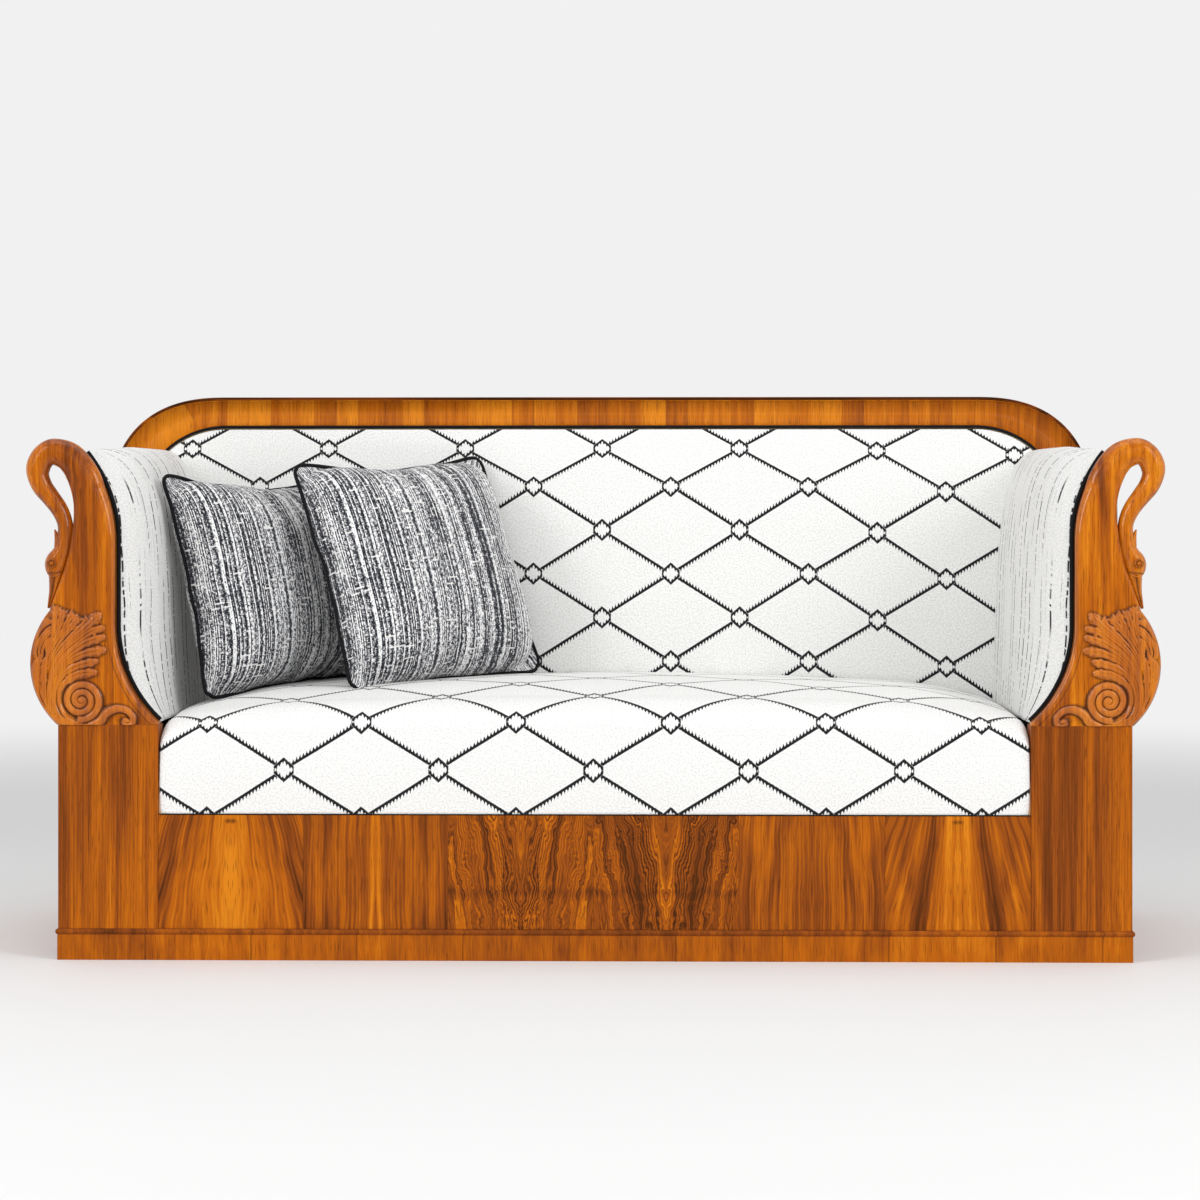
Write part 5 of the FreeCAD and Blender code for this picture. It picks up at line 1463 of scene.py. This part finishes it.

# %% [markdown]
# ## Cords
# A black cord closes every seam that shows: along the swans, under the crest and round the pillows, and a
# thin one below the seat's front edge is painted shadow for the gap there. Each could be a bevelled curve.
# One
# node tree does it for all: it spaces the path's points evenly, sweeps a small circle along it and gives it
# the finish.

# %% cord tree
def cord_tree():
    tree = bpy.data.node_groups.new("sewn_cord", "GeometryNodeTree")
    for name, kind in (("Path", "Geometry"), ("Thickness", "Float"), ("Spacing", "Float"),
                       ("Finish", "Material")):
        tree.interface.new_socket(name, in_out="INPUT", socket_type="NodeSocket" + kind)
    tree.interface.new_socket("Cord", in_out="OUTPUT", socket_type="NodeSocketGeometry")
    add = tree.nodes.new
    start, end = add("NodeGroupInput"), add("NodeGroupOutput")
    curve, even = add("GeometryNodeMeshToCurve"), add("GeometryNodeResampleCurve")
    even.mode = "LENGTH"
    ring, tube = add("GeometryNodeCurvePrimitiveCircle"), add("GeometryNodeCurveToMesh")
    ring.inputs["Resolution"].default_value = 12
    tube.inputs["Fill Caps"].default_value = True
    whole, coat = add("GeometryNodeRealizeInstances"), add("GeometryNodeSetMaterial")
    half = add("ShaderNodeMath")
    half.operation = "MULTIPLY"
    half.inputs[1].default_value = 0.5
    join = tree.links.new
    join(start.outputs["Path"], curve.inputs["Mesh"])
    join(curve.outputs[0], even.inputs["Curve"])
    join(start.outputs["Spacing"], even.inputs["Length"])
    join(start.outputs["Thickness"], half.inputs[0])
    join(half.outputs[0], ring.inputs["Radius"])
    join(even.outputs[0], tube.inputs["Curve"])
    join(ring.outputs[0], tube.inputs["Profile Curve"])
    join(tube.outputs[0], whole.inputs[0])
    join(whole.outputs[0], coat.inputs["Geometry"])
    join(start.outputs["Finish"], coat.inputs["Material"])
    join(coat.outputs[0], end.inputs["Cord"])
    return tree


def run_tree(carrier, tree, values):
    """Run a node tree on a carrier and keep only the plain mesh it makes."""
    modifier = carrier.modifiers.new(tree.name, "NODES")
    modifier.node_group = tree
    for item in tree.interface.items_tree:
        if item.in_out == "INPUT" and item.name in values:
            modifier[item.identifier] = values[item.name]
    bpy.context.view_layer.update()
    made = bpy.data.meshes.new_from_object(carrier.evaluated_get(bpy.context.evaluated_depsgraph_get()))
    carrier.modifiers.clear()
    carrier.data = made
    made.polygons.foreach_set("use_smooth", [True] * len(made.polygons))


CORD_TREE = cord_tree()
print("cord tree:", len(CORD_TREE.nodes), "nodes")

# %% [markdown]
# ### Cords of the frame
# The arm cords lie between swan and pad and follow the same S. The crest's cord follows the opening, and a
# thin black one above the apron is painted shadow under the seat cover. All are fixed along their seams, so
# each path is drawn.

# %% cords of the frame
CORD_INSET = 0.0022  # how far the crest's cord lies inside the opening


def sewn_cord(name, points, radius, body, closed=False, stands_for=()):
    """A cord along a path of points, set on its body; the frame nodes it stands for are hidden."""
    mesh = bpy.data.meshes.new(name)
    edges = [(n, n + 1) for n in range(len(points) - 1)]
    if closed:
        edges.append((len(points) - 1, 0))
    mesh.from_pydata([tuple(p) for p in points], edges, [])
    carrier = bpy.data.objects.new(name, mesh)
    scene.collection.objects.link(carrier)
    run_tree(carrier, CORD_TREE, {"Thickness": 2 * radius, "Spacing": 0.006, "Finish": CORD})
    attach(carrier, body)
    if stands_for:
        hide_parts(*stands_for)


for side, word in SIDES:
    line = arm_line(WAIST - 0.003, (0.7815, 0.4285), (0.9135, 0.911))
    sewn_cord(word + "_arm_cord", [(side * x, -0.3035, z) for x, z in line], 0.0042, "sofa",
              stands_for=[word + "_arm_piping"])
radius, side = OPENING - CORD_INSET, OPENING_SIDE - CORD_INSET
turns = np.linspace(math.acos((side - CREST_FLAT) / radius), math.pi / 2, 40)
arc = [(CREST_FLAT + radius * math.cos(t), CREST_CENTRE + radius * math.sin(t)) for t in turns]
line = [(side, 0.915)] + [p for p in arc if p[1] > 0.916]
line += [(-x, z) for x, z in line[::-1]]
sewn_cord("crest_cord", [(x, 0.2610, z) for x, z in line], 0.0026, "sofa", stands_for=["crest_piping"])
# painted shadow: a thin black cord in the gap under the seat's front edge, standing for no frame node
sewn_cord("seat_edge_shadow_cord", [(x, -0.3345, 0.2612) for x in np.linspace(-0.779, 0.779, 60)], 0.0010, "sofa")
print("cords: two arms, crest and seat edge")

# %% [markdown]
# ## Pillows
# Two loose pillows stand in the left corner. A puffed square alone looks like a balloon, so each cover is cut
# as two panels with drawn-in sides and slightly uneven edges. It then settles over its filling as cloth.

# %% pillow cover
def pillow_blank(name, sag, slump, half, cells=60, thick=0.074):
    """Two full panels that share their rim; the sides are drawn in between the corners, most at the top."""
    count = cells + 1
    grid = np.linspace(-1, 1, count)
    vertices, number = [], {}
    for sheet in (-1, 1):
        for i in range(count):
            for j in range(count):
                rim = i in (0, cells) or j in (0, cells)
                if rim and sheet == 1:
                    number[sheet, i, j] = number[-1, i, j]
                    continue
                a, b = grid[j], grid[i]
                grow = min(1.0, (abs(a) ** 4.5 + abs(b) ** 4.5) ** (1 / 4.5)) if not rim else 1.0
                rise = thick * (1.32 if sheet < 0 else 0.84) * max(0.0, 1 - grow ** 2.8) ** 0.55
                corner = 0.016 * (a * b) ** 12
                wave = soft_noise(a * 1.3, b * 1.3, half * 90, 2.6, 0.011) * max(abs(a), abs(b)) ** 4
                draw_top = (sag if b > 0 else 0.013) * (1 - a * a) * abs(b) ** 3
                draw_side = 0.020 * (1 - b * b) * abs(a) ** 3
                number[sheet, i, j] = len(vertices)
                vertices.append((a * (half - draw_side - corner) + 0.9 * wave, sheet * rise + wave * 0.5,
                                 b * (half - draw_top - corner) + 0.5 * wave
                                 - slump * ((1 + a) / 2) ** 1.5 * (1 + b) / 2))
    faces, uv = [], []
    for sheet in (-1, 1):
        for i in range(cells):
            for j in range(cells):
                corners = [(i, j), (i, j + 1), (i + 1, j + 1), (i + 1, j)]
                if sheet == 1:
                    corners.reverse()
                faces.append([number[sheet, a, b] for a, b in corners])
                uv += [(0.0, 0.0)] * 4
    around = [(0, j) for j in range(count)] + [(i, cells) for i in range(1, count)]
    around += [(cells, j) for j in range(cells - 1, -1, -1)] + [(i, 0) for i in range(cells - 1, 0, -1)]
    rim = [number[-1, i, j] for i, j in around]
    made = own_mesh(name, vertices, faces, uv, TWEED)
    made.vertex_groups.new(name="seam").add(rim, 1.0, "REPLACE")
    panels = {sheet: np.array([[number[sheet, i, j] for j in range(count)] for i in range(count)])
              for sheet in (-1, 1)}
    return made, rim, panels


print("pillow cover: two panels that share their rim")

# %% [markdown]
# The cover is held at its seam while a light pressure fills it. Its cloth map is measured afterwards, so
# that the yarns keep their true width on the swollen panels.

# %% filling and cloth map
MOST_MOVE = 0.014  # the farthest that a point of the cover may settle
CLOTH_SETTINGS = {"quality": 6, "mass": 0.25, "tension_stiffness": 18, "compression_stiffness": 18,
                  "shear_stiffness": 6, "bending_stiffness": 0.35, "vertex_group_mass": "seam",
                  "shrink_min": -0.012, "use_pressure": True}


def true_cloth_map(piece, panels):
    """Lay the map of both panels out by the lengths measured on the settled cover."""
    points = np.array([v.co for v in piece.data.vertices])
    layer = piece.data.uv_layers["cloth"].data
    half = len(piece.data.polygons) // 2
    for sheet, panel in panels.items():
        place = np.zeros((len(points), 2))
        for axis, column in ((1, 0), (0, 1)):
            steps = np.linalg.norm(np.diff(points[panel], axis=axis), axis=2)
            nothing = np.zeros_like(np.take(steps, [0], axis=axis))
            run = np.concatenate([nothing, np.cumsum(steps, axis=axis)], axis=axis)
            middle = np.take(run, [panel.shape[0] // 2], axis=axis)
            place[panel, column] = run - middle + (sheet if column == 0 else 0)
        for polygon in piece.data.polygons[:half] if sheet < 0 else piece.data.polygons[half:]:
            for loop in polygon.loop_indices:
                layer[loop].uv = place[piece.data.loops[loop].vertex_index]


def fill_cover(piece, push, frames=20):
    """Let the cover settle as cloth over its filling, held at the seam, and keep the settled mesh."""
    start = [v.co.copy() for v in piece.data.vertices]
    cloth = piece.modifiers.new("filling", "CLOTH")
    for key, value in CLOTH_SETTINGS.items():
        setattr(cloth.settings, key, value)
    cloth.settings.uniform_pressure_force = push
    cloth.settings.effector_weights.gravity = 0
    cloth.point_cache.frame_start, cloth.point_cache.frame_end = 1, frames
    for number in range(1, frames + 1):
        scene.frame_set(number)
    full = bpy.data.meshes.new_from_object(piece.evaluated_get(bpy.context.evaluated_depsgraph_get()))
    piece.modifiers.clear()
    piece.data = full
    scene.frame_set(1)
    for vertex, before in zip(piece.data.vertices, start):
        move = vertex.co - before
        if move.length > MOST_MOVE:
            vertex.co = before + move * (MOST_MOVE / move.length)


print("filling:", CLOTH_SETTINGS)

# %% [markdown]
# Each pillow is set in its place: turned, leant against the back and tipped as it lies in the picture. The
# rear one has slumped to one side, the front one stands fuller. A cord is sewn along the settled rim.

# %% pillows
# Middle, then turn, lean and tip in degrees, pressure of the filling, sag of the top, slump and half width.
PILLOWS = {"rear_pillow": ((-0.640, 0.030, 0.6830), (53.8, -11.6, -4.4), 2.0, 0.040, 0.045, 0.223),
           "front_pillow": ((-0.343, 0.027, 0.6953), (40.2, -21.3, -3.2), 2.4, 0.031, 0.0, 0.233)}
for name, (middle, (turn, lean, tip), push, sag, slump, half) in PILLOWS.items():
    pillow, rim, panels = pillow_blank(name + "_cover", sag, slump, half)
    fill_cover(pillow, push)
    true_cloth_map(pillow, panels)
    points = [v.co.copy() for v in pillow.data.vertices]
    place = Matrix.Translation(middle) @ Euler((0, 0, math.radians(turn))).to_matrix().to_4x4()
    place = place @ Matrix.Rotation(math.radians(lean), 4, "X") @ Matrix.Rotation(math.radians(tip), 4, "Y")
    for vertex, point in zip(pillow.data.vertices, points):
        vertex.co = place @ point
    seam = [pillow.data.vertices[n].co.copy() for n in rim]
    pillow.data.polygons.foreach_set("use_smooth", [True] * len(pillow.data.polygons))
    settle(pillow, name, 0.7, "tweed", name)
    sewn_cord(name + "_cord", seam, 0.0036, name, True, [name + "_piping"])
print("pillows:", len(pillow.data.polygons), "faces each")
